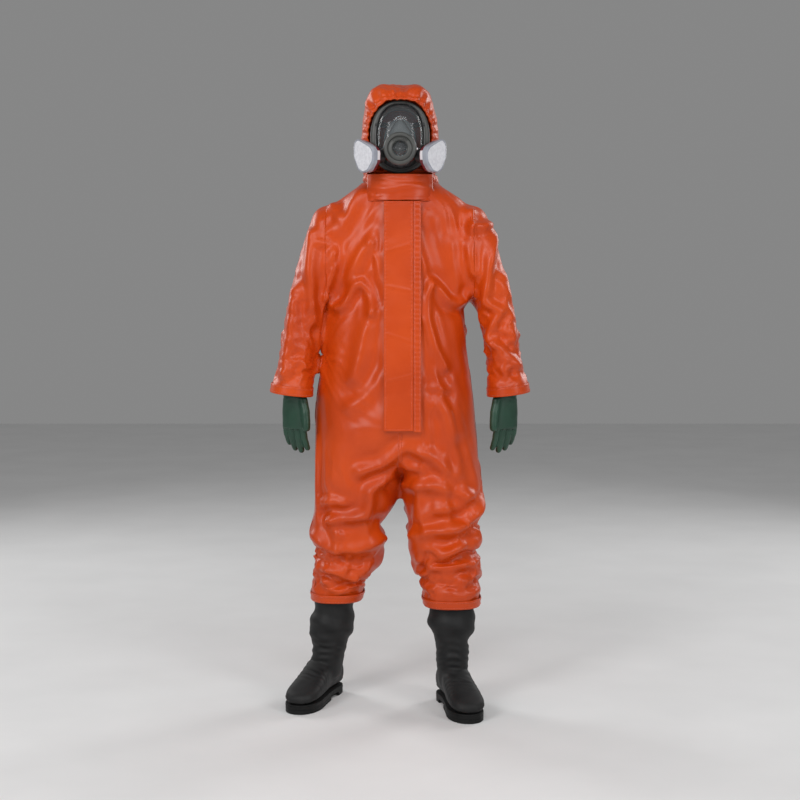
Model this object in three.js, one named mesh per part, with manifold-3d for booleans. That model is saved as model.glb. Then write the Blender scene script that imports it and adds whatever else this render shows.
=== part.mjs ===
// Chemical protective suit: a one-piece coverall with hood, sleeves and trouser legs, a storm flap over a zip,
// green gauntlet gloves, rubber boots, and a full-face respirator with two filter cartridges.
// It stands empty on its boots, in the shape that a wearer gives it. Millimetres, +Z up, the front faces -Y,
// +X is the wearer's left, and the origin is on the floor under the middle of the whole object.
import * as THREE from "three";
import { mergeVertices } from "three/addons/utils/BufferGeometryUtils.js";
import Module from "manifold-3d";

const wasm = await Module();
wasm.setup();

// ---------- driving dimensions ----------
const WALL = 3; // coated fabric with its seam allowances
const GAP = 0.6; // clearance where two pieces meet
const CUT = 8; // how far a cutting solid runs past the face that it opens
const ORIGIN = [0, 44.6, 0]; // added to every piece, so that the origin is under the middle of the object

const CROTCH = 700;
const HEM = 292;
const FLAP_LOW = 806;
const FLAP_LONG = 652;
const FRONT_LOW = -150; // depth of the front line at the flap's lower end
const FRONT_SLOPE = 45 / 675; // the front leans back towards the neck
const ARM_PLANE = 213.5; // the sleeves meet the body on this upright plane
const ARM_GAP = 2;
const ARMPIT = 1150;
const SIDE_SEAM = 5;
const COLLAR_TOP = 1532;
const HOOD_LOW = 1534;
const ZIP_SLOT = 7; // half the width of the slot that the zip closes

const FACE = [0, -88, 1642]; // centre of the respirator's rim
const FACE_HALF = [71, 97];
const FACE_OPENING = [93, 110]; // half sizes of the hood's opening
const VALVE_DROP = -38; // exhalation valve below the rim's centre
const PORT = [54, -24, -58]; // where an inhalation port leaves the lens
const PORT_AIM = new THREE.Vector3(0.766, -0.643, 0).normalize();
const PORT_LONG = 40;

// ---------- materials ----------
const paint = (color, roughness, metalness = 0) => new THREE.MeshStandardMaterial({ color, roughness, metalness });
const ORANGE = paint(0xd8481a, 0.35);
const LINING = paint(0x1d3b2a, 0.7);
const GREEN = paint(0x2c5a44, 0.5);
const BLACK = paint(0x1c1c1d, 0.6);
const SOLE = paint(0x0b0b0c, 0.7);
const GREY = paint(0x4a4b48, 0.45);
const DARK = paint(0x252627, 0.5);
const WHITE = paint(0xd9d9dc, 0.4);
const MAROON = paint(0x6b1420, 0.4);
const STEEL = paint(0x9a9a98, 0.35, 0.9);
const CLEAR = new THREE.MeshStandardMaterial({ color: 0xdde6ea, roughness: 0.05, transparent: true, opacity: 0.3 });

// ---------- making solids ----------
const point = (x, y, z) => new THREE.Vector3(x, y, z);
const X = point(1, 0, 0);
const Y = point(0, 1, 0);
const Z = point(0, 0, 1);

// Turns a geometry's faces round if they point inwards.
function facingOut(geometry) {
  const p = geometry.attributes.position;
  const f = geometry.index.array;
  const corner = (i) => point(p.getX(i), p.getY(i), p.getZ(i));
  let volume = 0;
  for (let i = 0; i < f.length; i += 3) {
    volume += corner(f[i]).dot(corner(f[i + 1]).cross(corner(f[i + 2])));
  }
  if (volume < 0) {
    for (let i = 0; i < f.length; i += 3) [f[i + 1], f[i + 2]] = [f[i + 2], f[i + 1]];
  }
  return geometry;
}

function solid(geometry) {
  const bare = geometry.clone();
  bare.deleteAttribute("normal");
  bare.deleteAttribute("uv");
  const merged = facingOut(mergeVertices(bare, 1e-3));
  return new wasm.Manifold(
    new wasm.Mesh({
      numProp: 3,
      vertProperties: new Float32Array(merged.attributes.position.array),
      triVerts: new Uint32Array(merged.index.array),
    }),
  );
}

function geometryOf(made) {
  const m = made.getMesh();
  const flat = new Float32Array(m.numVert * 3);
  for (let i = 0; i < m.numVert; i++) flat.set(m.vertProperties.subarray(i * m.numProp, i * m.numProp + 3), i * 3);
  return new THREE.BufferGeometry()
    .setAttribute("position", new THREE.BufferAttribute(flat, 3))
    .setIndex(new THREE.BufferAttribute(new Uint32Array(m.triVerts), 1));
}

const mirrored = (made) => solid(geometryOf(made).scale(-1, 1, 1));
const joined = (...parts) => parts.reduce((a, b) => a.add(b));

function box(x0, x1, y0, y1, z0, z1) {
  return solid(
    new THREE.BoxGeometry(x1 - x0, y1 - y0, z1 - z0).translate((x0 + x1) / 2, (y0 + y1) / 2, (z0 + z1) / 2),
  );
}

// A round bar or disc along Y, from y0 to y1.
function discY(radius, y0, y1, x = 0, z = 0, sides = 20) {
  return solid(new THREE.CylinderGeometry(radius, radius, y1 - y0, sides).translate(x, (y0 + y1) / 2, z));
}

// Points round a superellipse whose half sizes lie along the directions across and deep.
function ring(centre, across, deep, halfAcross, halfDeep, power = 2.4, sides = 24) {
  const bend = (v) => Math.sign(v) * Math.abs(v) ** (2 / power);
  return Array.from({ length: sides }, (_, k) => {
    const turn = (2 * Math.PI * k) / sides;
    return centre
      .clone()
      .addScaledVector(across, halfAcross * bend(Math.cos(turn)))
      .addScaledVector(deep, halfDeep * bend(Math.sin(turn)));
  });
}

const middle = (points) => points.reduce((sum, p) => sum.add(p), point(0, 0, 0)).divideScalar(points.length);

function loft(rings) {
  const sides = rings[0].length;
  const points = [...rings.flat(), middle(rings[0]), middle(rings.at(-1))];
  const [first, last, end] = [points.length - 2, points.length - 1, (rings.length - 1) * sides];
  const faces = [];
  for (let s = 0; s < sides; s++) {
    const next = (s + 1) % sides;
    for (let r = 0; r < end; r += sides) {
      faces.push(r + s, r + next, r + sides + next, r + s, r + sides + next, r + sides + s);
    }
    faces.push(first, next, s, last, end + s, end + next);
  }
  return new THREE.BufferGeometry().setFromPoints(points).setIndex(faces);
}

// Moves the first and last ring along the loft: outwards for an open end, inwards for a closed one.
function endsMoved(rings, start, end) {
  const step = (from, to, far) => {
    const way = middle(to).sub(middle(from)).normalize().multiplyScalar(far);
    return to.map((p) => p.clone().add(way));
  };
  return [step(rings[1], rings[0], start), ...rings.slice(1, -1), step(rings.at(-2), rings.at(-1), end)];
}

// The outer and inner solids of a lofted wall. make(section, inset) gives one ring.
function hollow(sections, make, { wall = WALL, openStart = true, openEnd = true } = {}) {
  const inner = sections.map((s) => make(s, wall));
  return {
    outer: solid(loft(sections.map((s) => make(s, 0)))),
    inner: solid(loft(endsMoved(inner, openStart ? CUT : -wall, openEnd ? CUT : -wall))),
  };
}

// Level ring between two sides, a front and a back. inset takes it in all round; a negative one lets it out.
const level = (power, sides) => ([z, x0, x1, front, back], inset) =>
  ring(
    point((x0 + x1) / 2, (front + back) / 2, z), X, Y,
    (x1 - x0) / 2 - inset, (back - front) / 2 - inset, power, sides,
  );
const wide = ([z, half, front, back]) => [z, -half, half, front, back];

// ---------- the scene graph ----------
const suit = new THREE.Group();
suit.position.set(...ORIGIN);

function add(name, made, material, parent = suit) {
  const mesh = new THREE.Mesh(geometryOf(made), material);
  mesh.name = name;
  parent.add(mesh);
  return mesh;
}

function addPair(name, made, material, parent = suit) {
  add(`${name}_left`, made, material, parent);
  add(`${name}_right`, mirrored(made), material, parent);
}

// ---------- coverall ----------
const frontAt = (z) => FRONT_LOW + (z - FLAP_LOW) * FRONT_SLOPE;
const TORSO = [
  [CROTCH - 6, 226, -112, 124],
  [745, 236, -140, 140],
  [800, 238, frontAt(800), 146],
  [900, 231, frontAt(900), 145],
  [1000, 222, frontAt(1000), 138],
  [1120, 208, frontAt(1120), 134],
  [1250, 207, frontAt(1250), 136],
  [1360, 208, frontAt(1360), 130],
  [1430, 206, frontAt(1430), 112],
  [1468, 190, -97, 94],
  [1488, 166, -88, 82],
  [1496, 140, -82, 76],
].map(wide);
const NECK = [
  [1440, 98, -92, 92],
  [1500, 99, -92, 96],
].map(wide);
const torsoRing = level(2.6, 16);
const LEG_RIGHT = [
  [760, -232, -6, -128, 136],
  [690, -250, -4, -130, 138],
  [600, -256, -16, -116, 130],
  [505, -269, -44, -100, 124],
  [430, -256, -52, -76, 132],
  [350, -266, -90, -52, 142],
  [HEM, -262, -111, -36, 140],
];
const LEG_LEFT = [
  [760, 6, 230, -128, 136],
  [690, 6, 243, -130, 138],
  [595, 9, 261, -128, 118],
  [520, 9, 237, -128, 98],
  [440, 13, 238, -124, 84],
  [350, 50, 238, -126, 68],
  [HEM, 68, 232, -120, 56],
];
const legRing = level(2.3, 12);
// Sleeve rings fan out from the armpit: inner point, outer point, front and back.
const SLEEVE = [
  [[196, 1178], [196, 1470], -96, 104],
  [[217, 1172], [236, 1452], -98, 102],
  [[220, 1160], [268, 1402], -99, 100],
  [[223, 1140], [303, 1300], -100, 93],
  [[227, 1100], [331, 1178], -98, 82],
  [[235, 1035], [350, 1068], -100, 66],
  [[241, 965], [364, 982], -105, 52],
  [[246, 893], [376, 908], -109, 43],
];
function sleeveRing([[xIn, zIn], [xOut, zOut], front, back], inset) {
  const across = point(xOut - xIn, 0, zOut - zIn);
  const half = across.length() / 2;
  const centre = point((xIn + xOut) / 2, (front + back) / 2, (zIn + zOut) / 2);
  return ring(centre, across.normalize(), Y, half - inset, (back - front) / 2 - inset, 2.2, 12);
}

const torso = hollow(TORSO, torsoRing, { openStart: false, openEnd: false });
const neck = hollow(NECK, torsoRing, { wall: 0 });
const legRight = hollow(LEG_RIGHT, legRing);
const legLeft = hollow(LEG_LEFT, legRing);
const sleeve = hollow(SLEEVE, sleeveRing);
const sleeveMirror = { outer: mirrored(sleeve.outer), inner: mirrored(sleeve.inner) };

const beyondArmPlane = box(ARM_PLANE - ARM_GAP / 2, 500, -300, 300, ARMPIT - 40, 1600);
const bodyOuter = joined(torso.outer, legRight.outer, legLeft.outer, sleeve.outer, sleeveMirror.outer);
const bodyInner = joined(torso.inner, neck.inner, legRight.inner, legLeft.inner, sleeve.inner, sleeveMirror.inner);
const sideways = box(239, 500, -300, 300, 850, 1600);
const body = bodyOuter
  .subtract(bodyInner)
  .subtract(joined(beyondArmPlane, mirrored(beyondArmPlane), sideways, mirrored(sideways)));
const largest = (made) => made.decompose().reduce((a, b) => (a.volume() > b.volume() ? a : b));

const panelLow = CROTCH + GAP / 2;
const panel = (x0, x1, y0, y1) => largest(body.intersect(box(x0, x1, y0, y1, panelLow, 1600)));
const zipSlot = box(-ZIP_SLOT, ZIP_SLOT, -300, 0, FLAP_LOW + 4, 1600);
add("front_panel_left", largest(panel(GAP / 2, 400, -300, SIDE_SEAM).subtract(zipSlot)), ORANGE);
add("front_panel_right", largest(panel(-400, -GAP / 2, -300, SIDE_SEAM).subtract(zipSlot)), ORANGE);
add("back_panel", panel(-400, 400, SIDE_SEAM + GAP, 300), ORANGE);

const hemBand = (rings, make, z0, z1) => {
  const out = solid(loft(rings.map((s) => make(s, -1.2 - GAP))));
  const keep = solid(loft(rings.map((s) => make(s, -GAP))));
  return out.subtract(keep).intersect(box(-400, 400, -300, 300, z0, z1));
};
for (const [name, leg, sections] of [["right", legRight, LEG_RIGHT], ["left", legLeft, LEG_LEFT]]) {
  const half = name === "left" ? box(GAP / 2, 400, -300, 300, 0, CROTCH - GAP / 2)
    : box(-400, -GAP / 2, -300, 300, 0, CROTCH - GAP / 2);
  add(`trouser_leg_${name}`, largest(leg.outer.subtract(leg.inner).intersect(half)), ORANGE);
  add(`trouser_hem_${name}`, largest(hemBand(sections, legRing, HEM - 1, HEM + 24)), ORANGE);
}

const armSide = box(ARM_PLANE + ARM_GAP / 2, 500, -300, 300, 0, 1600);
const sleeveCloth = largest(sleeve.outer.subtract(sleeve.inner).intersect(armSide));
addPair("sleeve", sleeveCloth, ORANGE);
const blendOf = (a, b, t) => (Array.isArray(a) ? a.map((v, i) => blendOf(v, b[i], t)) : a + (b - a) * t);
const cuffEnd = [blendOf(SLEEVE.at(-2), SLEEVE.at(-1), 0.64), SLEEVE.at(-1)];
const sleeveHem = hollow(cuffEnd, (s, inset) => sleeveRing(s, inset - 2), { wall: 1.2 });
addPair("sleeve_hem", sleeveHem.outer.subtract(sleeveHem.inner), ORANGE);

// ---------- inner cuffs and gloves ----------
const WRIST = [306, -32]; // the wrist's place across and deep
const cuffAt = (z, x, y, half, deep) => [z, x - half, x + half, y - deep, y + deep];
const INNER_CUFF = [ // from the sleeve's lining down into the glove
  cuffAt(1004, 298, -24, 52, 72), cuffAt(996, 300, -26, 42, 48), cuffAt(986, ...WRIST, 28, 26),
  cuffAt(940, ...WRIST, 26, 24),
];
const roundRing = level(2, 12);
const innerCuff = hollow(INNER_CUFF, roundRing, { wall: 1.6 });
addPair("inner_cuff", innerCuff.outer.subtract(innerCuff.inner), LINING);

const HAND_TURN = THREE.MathUtils.degToRad(32); // the thumb's side is turned to the front
const GLOVE_WALL = 2;
const PALM = [ // level, half width, half thickness, and how far the palm's middle lies from the wrist
  [984, 38, 35, 0], [912, 34, 26, 0], [850, 42, 20, 2], [800, 42, 16, 2],
];
const FINGERS = [ // across the hand, length, radius
  [30, 84, 10.5], [10, 94, 11], [-11, 88, 10.5], [-30, 70, 9.5],
];
const THUMB = [[30, -4, 892], [46, -10, 850], [50, -12, 812]];

// A finger: round rings along a path that ends in a small one.
function digit(path, radius, inset) {
  const rings = path.map((p, i) => {
    const way = path[Math.min(i + 1, path.length - 1)].clone().sub(path[Math.max(i - 1, 0)]).normalize();
    const across = point(1, 0, 0).addScaledVector(way, -way.x).normalize();
    return ring(p, across, way.clone().cross(across), radius(i) - inset, radius(i) - inset, 2, 5);
  });
  return solid(loft(inset ? endsMoved(rings, 0, -inset) : rings));
}

// The glove as one solid, let in by inset. It points down, its thumb towards +X of its own frame.
function hand(inset) {
  const palm = PALM.map(([z, half, deep, off]) =>
    ring(point(off, 0, z), X, Y, half - inset, deep - inset, 2.2, 10));
  const parts = [solid(loft(inset ? endsMoved(palm, CUT, -inset) : palm))];
  for (const [across, long, radius] of FINGERS) {
    const lean = across / 30;
    const path = [0, 0.5, 1].map((t) =>
      point(across + lean * 2 * t, 26 * t * t, 812 - long * t * (1 - 0.1 * t)));
    parts.push(digit(path, (i) => [radius, radius - 0.5, radius - 4][i], inset));
  }
  const tip = point(...THUMB.at(-1)).add(point(-1, 1, -18));
  const thumb = [...THUMB.map((p) => point(...p)), tip];
  parts.push(digit(thumb, (i) => [14, 13.5, 12, 6][i], inset));
  return joined(...parts);
}
const turned = (made, turn, x, y) => solid(geometryOf(made).rotateZ(turn).translate(x, y, 0));
const gloveLocal = largest(hand(0).subtract(hand(GLOVE_WALL)));
add("glove_right", turned(gloveLocal, -HAND_TURN, -WRIST[0], WRIST[1]), GREEN);
add("glove_left", mirrored(turned(gloveLocal, -HAND_TURN, -WRIST[0], WRIST[1])), GREEN);

// ---------- boots ----------
const SOLE_THICK = 26;
const BOOT_WALL = 4;
const SHAFT = [ // level, half width, front, back, in the boot's own frame with the toe towards -Y
  [352, 61, -62, 66], [235, 60, -60, 62], [178, 49, -56, 58], [62, 40, -46, 62],
];
const FOOT = [ // distance forward, half width, top
  [-84, 26, 80], [-66, 36, 104], [20, 40, 126], [80, 47, 98], [140, 50, 76], [180, 42, 62], [199, 22, 50],
];
const footRing = ([y, half, top], inset) =>
  ring(point(0, -y, (SOLE_THICK + top) / 2), X, Z, half - inset, (top - SOLE_THICK) / 2 - GAP / 2 - inset, 2.6, 8);

function footprint(margin) {
  const shape = new THREE.Shape();
  shape.moveTo(0, -88 - margin);
  shape.bezierCurveTo(34 + margin, -88 - margin, 40 + margin, -62, 38 + margin, -30);
  shape.bezierCurveTo(34 + margin, 10, 42 + margin, 60, 52 + margin, 118);
  shape.bezierCurveTo(56 + margin, 160, 40 + margin, 204 + margin, 2, 205 + margin);
  shape.bezierCurveTo(-34 - margin, 204 + margin, -50 - margin, 168, -48 - margin, 118);
  shape.bezierCurveTo(-40 - margin, 60, -36 - margin, 10, -38 - margin, -30);
  shape.bezierCurveTo(-40 - margin, -62, -34 - margin, -88 - margin, 0, -88 - margin);
  return shape;
}
function slab(shape, z0, z1) {
  const made = new THREE.ExtrudeGeometry(shape, { depth: z1 - z0, bevelEnabled: false, curveSegments: 3 });
  return solid(made.rotateZ(Math.PI).translate(0, 0, z0));
}

function boot(side, x, y, yaw, lean) {
  const shaftRing = ([z, half, front, back], inset) =>
    level(2.1, 10)([z, -half + lean * z, half + lean * z, front, back], inset);
  const shaft = hollow(SHAFT, shaftRing, { wall: BOOT_WALL });
  const foot = hollow(FOOT, footRing, { wall: BOOT_WALL, openStart: false, openEnd: false });
  const shaftInner = solid(
    loft(endsMoved(SHAFT.map((s) => shaftRing(s, BOOT_WALL)), CUT, -BOOT_WALL)),
  );
  const insole = slab(footprint(-13), SOLE_THICK + BOOT_WALL + GAP, SOLE_THICK + BOOT_WALL + 5);
  const insoleRoom = slab(footprint(-11.5), SOLE_THICK + BOOT_WALL, SOLE_THICK + BOOT_WALL + 30);
  const upper = shaft.outer.add(foot.outer).subtract(joined(shaftInner, foot.inner, insoleRoom));
  const arch = box(-80, 80, -34, 28, -5, 12);
  const grooves = [-70, -98, -126, -154].map((at) => box(-80, 80, at - 3, at + 3, -5, 5));
  const sole = slab(footprint(0), 0, SOLE_THICK).subtract(joined(arch, ...grooves));
  const group = new THREE.Group();
  group.position.set(x, y, 0);
  group.rotation.z = yaw;
  suit.add(group);
  add(`boot_upper_${side}`, largest(upper), BLACK, group);
  add(`boot_sole_${side}`, sole, SOLE, group);
  add(`boot_insole_${side}`, insole, GREY, group);
}
boot("right", -226, 50, THREE.MathUtils.degToRad(-20), 0.125);
boot("left", 155, -35, THREE.MathUtils.degToRad(13), -0.02);

// ---------- collar, chin flap and hood ----------
const COLLAR = [
  [1440, 108, -110, 96],
  [1495, 106, -106, 102],
  [COLLAR_TOP, 106, -99, 112],
].map(wide);
const clothGrown = solid(loft(TORSO.map((s) => torsoRing(s, -GAP))));
const collarRing = level(2.4, 16);
const collar = hollow(COLLAR, collarRing);
const collarSlot = box(-ZIP_SLOT, ZIP_SLOT, -300, 0, 1400, 1600);
add("collar", largest(collar.outer.subtract(collar.inner).subtract(clothGrown).subtract(collarSlot)), ORANGE);

const chinWrap = solid(loft(COLLAR.map((s) => collarRing(s, -4.4))));
const chinInside = solid(loft(COLLAR.map((s) => collarRing(s, -1.4))));
const chinReach = box(-93, 93, -300, -52, 1462, COLLAR_TOP - 3);
add("chin_flap", largest(chinWrap.subtract(chinInside).intersect(chinReach).subtract(clothGrown)), ORANGE);

const HOOD = [
  [HOOD_LOW, 105, -98, 112],
  [1580, 109, -100, 120],
  [1640, 111, -103, 125],
  [1700, 111, -105, 124],
  [1745, 103, -99, 115],
  [1775, 85, -80, 96],
  [1792, 58, -52, 68],
  [1800, 24, -18, 30],
].map(wide);
const hoodRing = level(2.4, 16);
const hood = hollow(HOOD, hoodRing, { openEnd: false });
const faceHole = (grow) => {
  const [half, high] = FACE_OPENING.map((v) => v + grow);
  const upright = (y) => ring(point(0, y, FACE[2]), X, Z, half, high, 2.3, 16);
  return solid(loft([upright(-300), upright(-15)])).add(box(-half, half, -300, -15, HOOD_LOW - 20, FACE[2]));
};
add("hood", largest(hood.outer.subtract(hood.inner).subtract(faceHole(0))), ORANGE);
const rim = solid(loft(endsMoved(HOOD.map((s) => hoodRing(s, -3.2)), -3, 0)))
  .subtract(solid(loft(endsMoved(HOOD.map((s) => hoodRing(s, -GAP)), 4, GAP))))
  .intersect(faceHole(9))
  .subtract(faceHole(0.5));
add("hood_elastic", largest(rim), ORANGE);

// ---------- front closure: zip, storm flap and its fastening ----------
const front = new THREE.Group();
front.position.set(0, FRONT_LOW, FLAP_LOW);
front.rotation.x = -Math.atan(FRONT_SLOPE);
suit.add(front);
const ZIP_LOW = 14;
const ZIP_TOP = 618;
const zipSide = joined(box(1.6, 18, 5.4, 6.6, ZIP_LOW, ZIP_TOP), box(1.6, 4.4, 0.9, 5.6, ZIP_LOW, ZIP_TOP));
add("zip_chain_left", zipSide, DARK, front);
add("zip_chain_right", mirrored(zipSide), DARK, front);
add("zip_bottom_stop", box(-5.4, 5.4, 0.6, 5.2, ZIP_LOW - 6, ZIP_LOW - GAP), DARK, front);
const slider = joined(
  box(-5.6, 5.6, -1.8, 0.4, ZIP_TOP - 20, ZIP_TOP - 2),
  box(-1.1, 1.1, 0.3, 8.4, ZIP_TOP - 16, ZIP_TOP - 6),
  box(-5.2, 5.2, 7.2, 8.6, ZIP_TOP - 20, ZIP_TOP - 2),
  box(-3.6, 3.6, -3.2, -1.7, ZIP_TOP - 52, ZIP_TOP - 10),
);
add("zip_slider", slider, STEEL, front);
add("storm_flap", box(-46, 37, -8, -5.3, -2, FLAP_LONG), ORANGE, front);
add("flap_base_strip", box(39.2, 60, -8, -0.8, -4, FLAP_LONG), ORANGE, front);
add("flap_hook_strip", box(-43, -25, -4.9, -3.6, 10, 630), DARK, front);
add("flap_loop_strip", box(-43, -25, -2.9, -0.8, 10, 630), DARK, front);

// ---------- respirator ----------
const mask = new THREE.Group();
mask.position.set(...FACE);
suit.add(mask);
const rimRing = (power, sides) => ([y, half, high, z = 0], inset) =>
  ring(point(0, y, z), X, Z, half - inset, high - inset, power, sides);
const faceRing = rimRing(2.3, 16);

const valveHole = discY(37.6, -200, -10, 0, VALVE_DROP);
// A round bar along the port's aim, from near to far in front of the port's foot.
function portBar(radius, near, far, sides = 16) {
  const made = new THREE.CylinderGeometry(radius, radius, far - near, sides);
  const at = point(...PORT).addScaledVector(PORT_AIM, (near + far) / 2);
  made.applyQuaternion(new THREE.Quaternion().setFromUnitVectors(Y, PORT_AIM));
  return solid(made.translate(at.x, at.y, at.z));
}
const portHole = portBar(19.5, -30, 40);
const holes = joined(valveHole, portHole, mirrored(portHole));

const lens = hollow(
  [[-4, 66, 92], [-22, 63, 88], [-40, 53, 74], [-50, 38, 52], [-55, 17, 22]],
  faceRing,
  { wall: 2.4, openEnd: false },
);
add("mask_lens", largest(lens.outer.subtract(lens.inner).subtract(holes)), CLEAR, mask);
const frameOuter = solid(loft([[-14, 68, 94], [-10, ...FACE_HALF], [4, ...FACE_HALF]].map((s) => faceRing(s, 0))));
const frameInner = solid(loft([[-30, 66.6, 92.6], [-3, 66.6, 92.6]].map((s) => faceRing(s, 0))));
const frameBack = solid(loft([[-3.4, 62, 88], [20, 62, 88]].map((s) => faceRing(s, 0))));
add("mask_lens_frame", frameOuter.subtract(joined(frameInner, frameBack, holes)), DARK, mask);
const seal = hollow([[4.6, 70, 96], [8, 84, 104], [24, 84, 102], [44, 70, 88]], faceRing, { wall: 3 });
add("mask_face_seal", seal.outer.subtract(seal.inner), GREY, mask);

const cup = hollow(
  [[-47.2, 36, 36, VALVE_DROP], [-30, 37, 50, -26], [-8, 42, 62, -20], [22, 46, 68, -16]],
  rimRing(2.1, 12),
  { wall: 2.6 },
);
const portRoom = portBar(20, -30, 40);
const insideLens = solid(loft([[-6, 62, 88], [-24, 58.5, 83], [-39, 49, 70], [-48, 34, 48], [-52, 15, 20]]
  .map((s) => faceRing(s, 0)))).add(box(-54, 54, -7, 60, -92, 92));
const cupCloth = cup.outer.subtract(cup.inner).intersect(insideLens);
const cupBody = largest(cupCloth.subtract(joined(portRoom, mirrored(portRoom), discY(60, -80, -44.2, 0, VALVE_DROP))));
add("mask_nose_cup", cupBody, GREY, mask);

// Profiles turned about the valve's axis: radius and distance forward.
function turnedAboutValve(profile, segments = 20) {
  const made = new THREE.LatheGeometry(profile.map(([r, f]) => new THREE.Vector2(r, f)), segments);
  return solid(made.rotateX(Math.PI).translate(0, 0, VALVE_DROP));
}
const housing = turnedAboutValve([
  [26, 44.4], [37, 44.4], [37, 58], [46.5, 59], [47, 66], [43, 71], [35, 71], [34.6, 62], [26, 62], [26, 44.4],
]);
add("valve_housing", housing, GREY, mask);
const slots = [-32, 0, 32].map((deg) => {
  const bar = new THREE.BoxGeometry(3.4, 20, 6).translate(0, -68, 29.5);
  return solid(bar.rotateY(THREE.MathUtils.degToRad(deg)).translate(0, 0, VALVE_DROP));
});
const cover = turnedAboutValve([[22, 64.8], [34, 64.8], [34, 69], [26, 72], [22, 72], [22, 64.8]]);
add("exhalation_valve_cover", cover.subtract(joined(...slots)), DARK, mask);
const spokes = [0, 90].map((deg) =>
  solid(new THREE.BoxGeometry(48, 3, 2.2).translate(0, -60.2, 0).rotateY(THREE.MathUtils.degToRad(deg))
    .translate(0, 0, VALVE_DROP)));
const seatRing = turnedAboutValve([[19, 57.4], [25.4, 57.4], [25.4, 61.6], [19, 61.6], [19, 57.4]]);
const seat = joined(seatRing, ...spokes, discY(5, -61.6, -58.6, 0, VALVE_DROP));
add("exhalation_valve_seat", seat, DARK, mask);
add("exhalation_valve_flap", discY(21, -63.2, -62.2, 0, VALVE_DROP), CLEAR, mask);

// Inhalation port, valve, cartridge, pad and retainer share a frame whose +Y runs along the port's aim.
const sideGroup = (sign) => {
  const group = new THREE.Group();
  const aim = PORT_AIM.clone().multiply(point(sign, 1, 1));
  group.position.set(PORT[0] * sign, PORT[1], PORT[2]);
  const up = Z.clone().addScaledVector(aim, -aim.z).normalize();
  group.quaternion.setFromRotationMatrix(new THREE.Matrix4().makeBasis(up.clone().cross(aim).negate(), aim, up));
  mask.add(group);
  return group;
};
const alongAim = (profile, segments = 16) =>
  solid(new THREE.LatheGeometry(profile.map(([r, f]) => new THREE.Vector2(r, f)), segments));
const SEAT = PORT_LONG - 7; // the cartridge's back face, along the aim
const port = alongAim([[13, -2], [18.6, -2], [18.6, SEAT - 4], [22, SEAT - 4], [22, SEAT - 1], [16, SEAT - 1],
  [16, PORT_LONG], [13, PORT_LONG], [13, -2]]);
const web = box(-14, 14, -1, 1.4, -1.6, 1.6).add(box(-1.6, 1.6, -1, 1.4, -14, 14));

// The cartridge's outline: a rounded shield whose upper edge rises outwards. toBody is +1 or -1.
function plate(grow, toBody) {
  const corners = [[-47, 2], [-46, 40], [-30, 49], [30, 26], [42, 10], [40, -20], [18, -45], [-10, -49], [-30, -38]];
  const out = corners.map(([u, v]) => new THREE.Vector2(toBody * (u + Math.sign(u) * grow), v + Math.sign(v) * grow));
  const shape = new THREE.Shape();
  const n = out.length;
  out.forEach((corner, i) => {
    const [before, after] = [out[(i + n - 1) % n], out[(i + 1) % n]];
    const enter = corner.clone().lerp(before, 0.3);
    if (i === 0) shape.moveTo(enter.x, enter.y);
    else shape.lineTo(enter.x, enter.y);
    const leave = corner.clone().lerp(after, 0.3);
    shape.quadraticCurveTo(corner.x, corner.y, leave.x, leave.y);
  });
  return shape;
}
function platePrism(grow, toBody, near, far) {
  const made = new THREE.ExtrudeGeometry(plate(grow, toBody), { depth: far - near, bevelEnabled: false, curveSegments: 2 });
  return solid(made.rotateX(Math.PI / 2).translate(0, far, 0));
}
for (const [side, sign] of [["left", 1], ["right", -1]]) {
  const group = sideGroup(sign);
  add(`inhalation_port_${side}`, port.add(web), DARK, group);
  add(`inhalation_valve_${side}`, alongAim([[0, -3], [12.4, -3], [12.4, -2], [0, -2]], 20), CLEAR, group);
  const socket = alongAim([[0, SEAT - 5], [17, SEAT - 5], [17, PORT_LONG + 1], [0, PORT_LONG + 1]]);
  const neckRing = alongAim([[22.6, SEAT - 6], [27, SEAT - 6], [27, SEAT + 1], [22.6, SEAT + 1], [22.6, SEAT - 6]]);
  const bodySolid = platePrism(-2, sign, SEAT, SEAT + 20).subtract(socket);
  add(`cartridge_${side}`, bodySolid.add(neckRing), MAROON, group);
  add(`filter_pad_${side}`, platePrism(-3, sign, SEAT + 20.6, SEAT + 27), WHITE, group);
  const cap = platePrism(1, sign, SEAT + 14, SEAT + 31).subtract(platePrism(-1.4, sign, SEAT + 13, SEAT + 27.6));
  add(`filter_retainer_${side}`, cap, WHITE, group);
}

// ---------- head harness ----------
const HEAD = point(0, 80, 0); // middle of the head, in the respirator's frame
const STRAP = [16, 2.4];
const STRAP_STEPS = 7;
// A flat strap along a curve, its wide side facing the head.
function strapRings(path, width, thick) {
  const curve = new THREE.CatmullRomCurve3(path.map((p) => point(...p)));
  return curve.getSpacedPoints(STRAP_STEPS).map((p, i) => {
    const way = curve.getTangentAt(i / STRAP_STEPS);
    const out = p.clone().sub(HEAD);
    out.addScaledVector(way, -out.dot(way)).normalize();
    const across = way.clone().cross(out);
    const corner = (u, v) => p.clone().addScaledVector(across, (u * width) / 2).addScaledVector(out, (v * thick) / 2);
    return [corner(-1, -1), corner(1, -1), corner(1, 1), corner(-1, 1)];
  });
}
const UPPER = [[83, 32, 32], [78, 54, 37], [73, 92, 44], [56, 142, 46], [18, 168, 40]];
const LOWER = [[82, 30, -34], [82, 56, -40], [77, 98, -40], [52, 146, -28], [18, 170, -8]];
const strapSolids = [UPPER, LOWER].map((path) => solid(loft(strapRings(path, ...STRAP))));
const pad = solid(
  loft([[164, 20, 34], [169, 33, 47], [173, 33, 47], [176, 22, 36]].map((s) => rimRing(2.6, 14)([...s, 16], 0))),
);
add("head_harness", joined(pad, ...strapSolids, ...strapSolids.map(mirrored)), DARK, mask);

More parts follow.
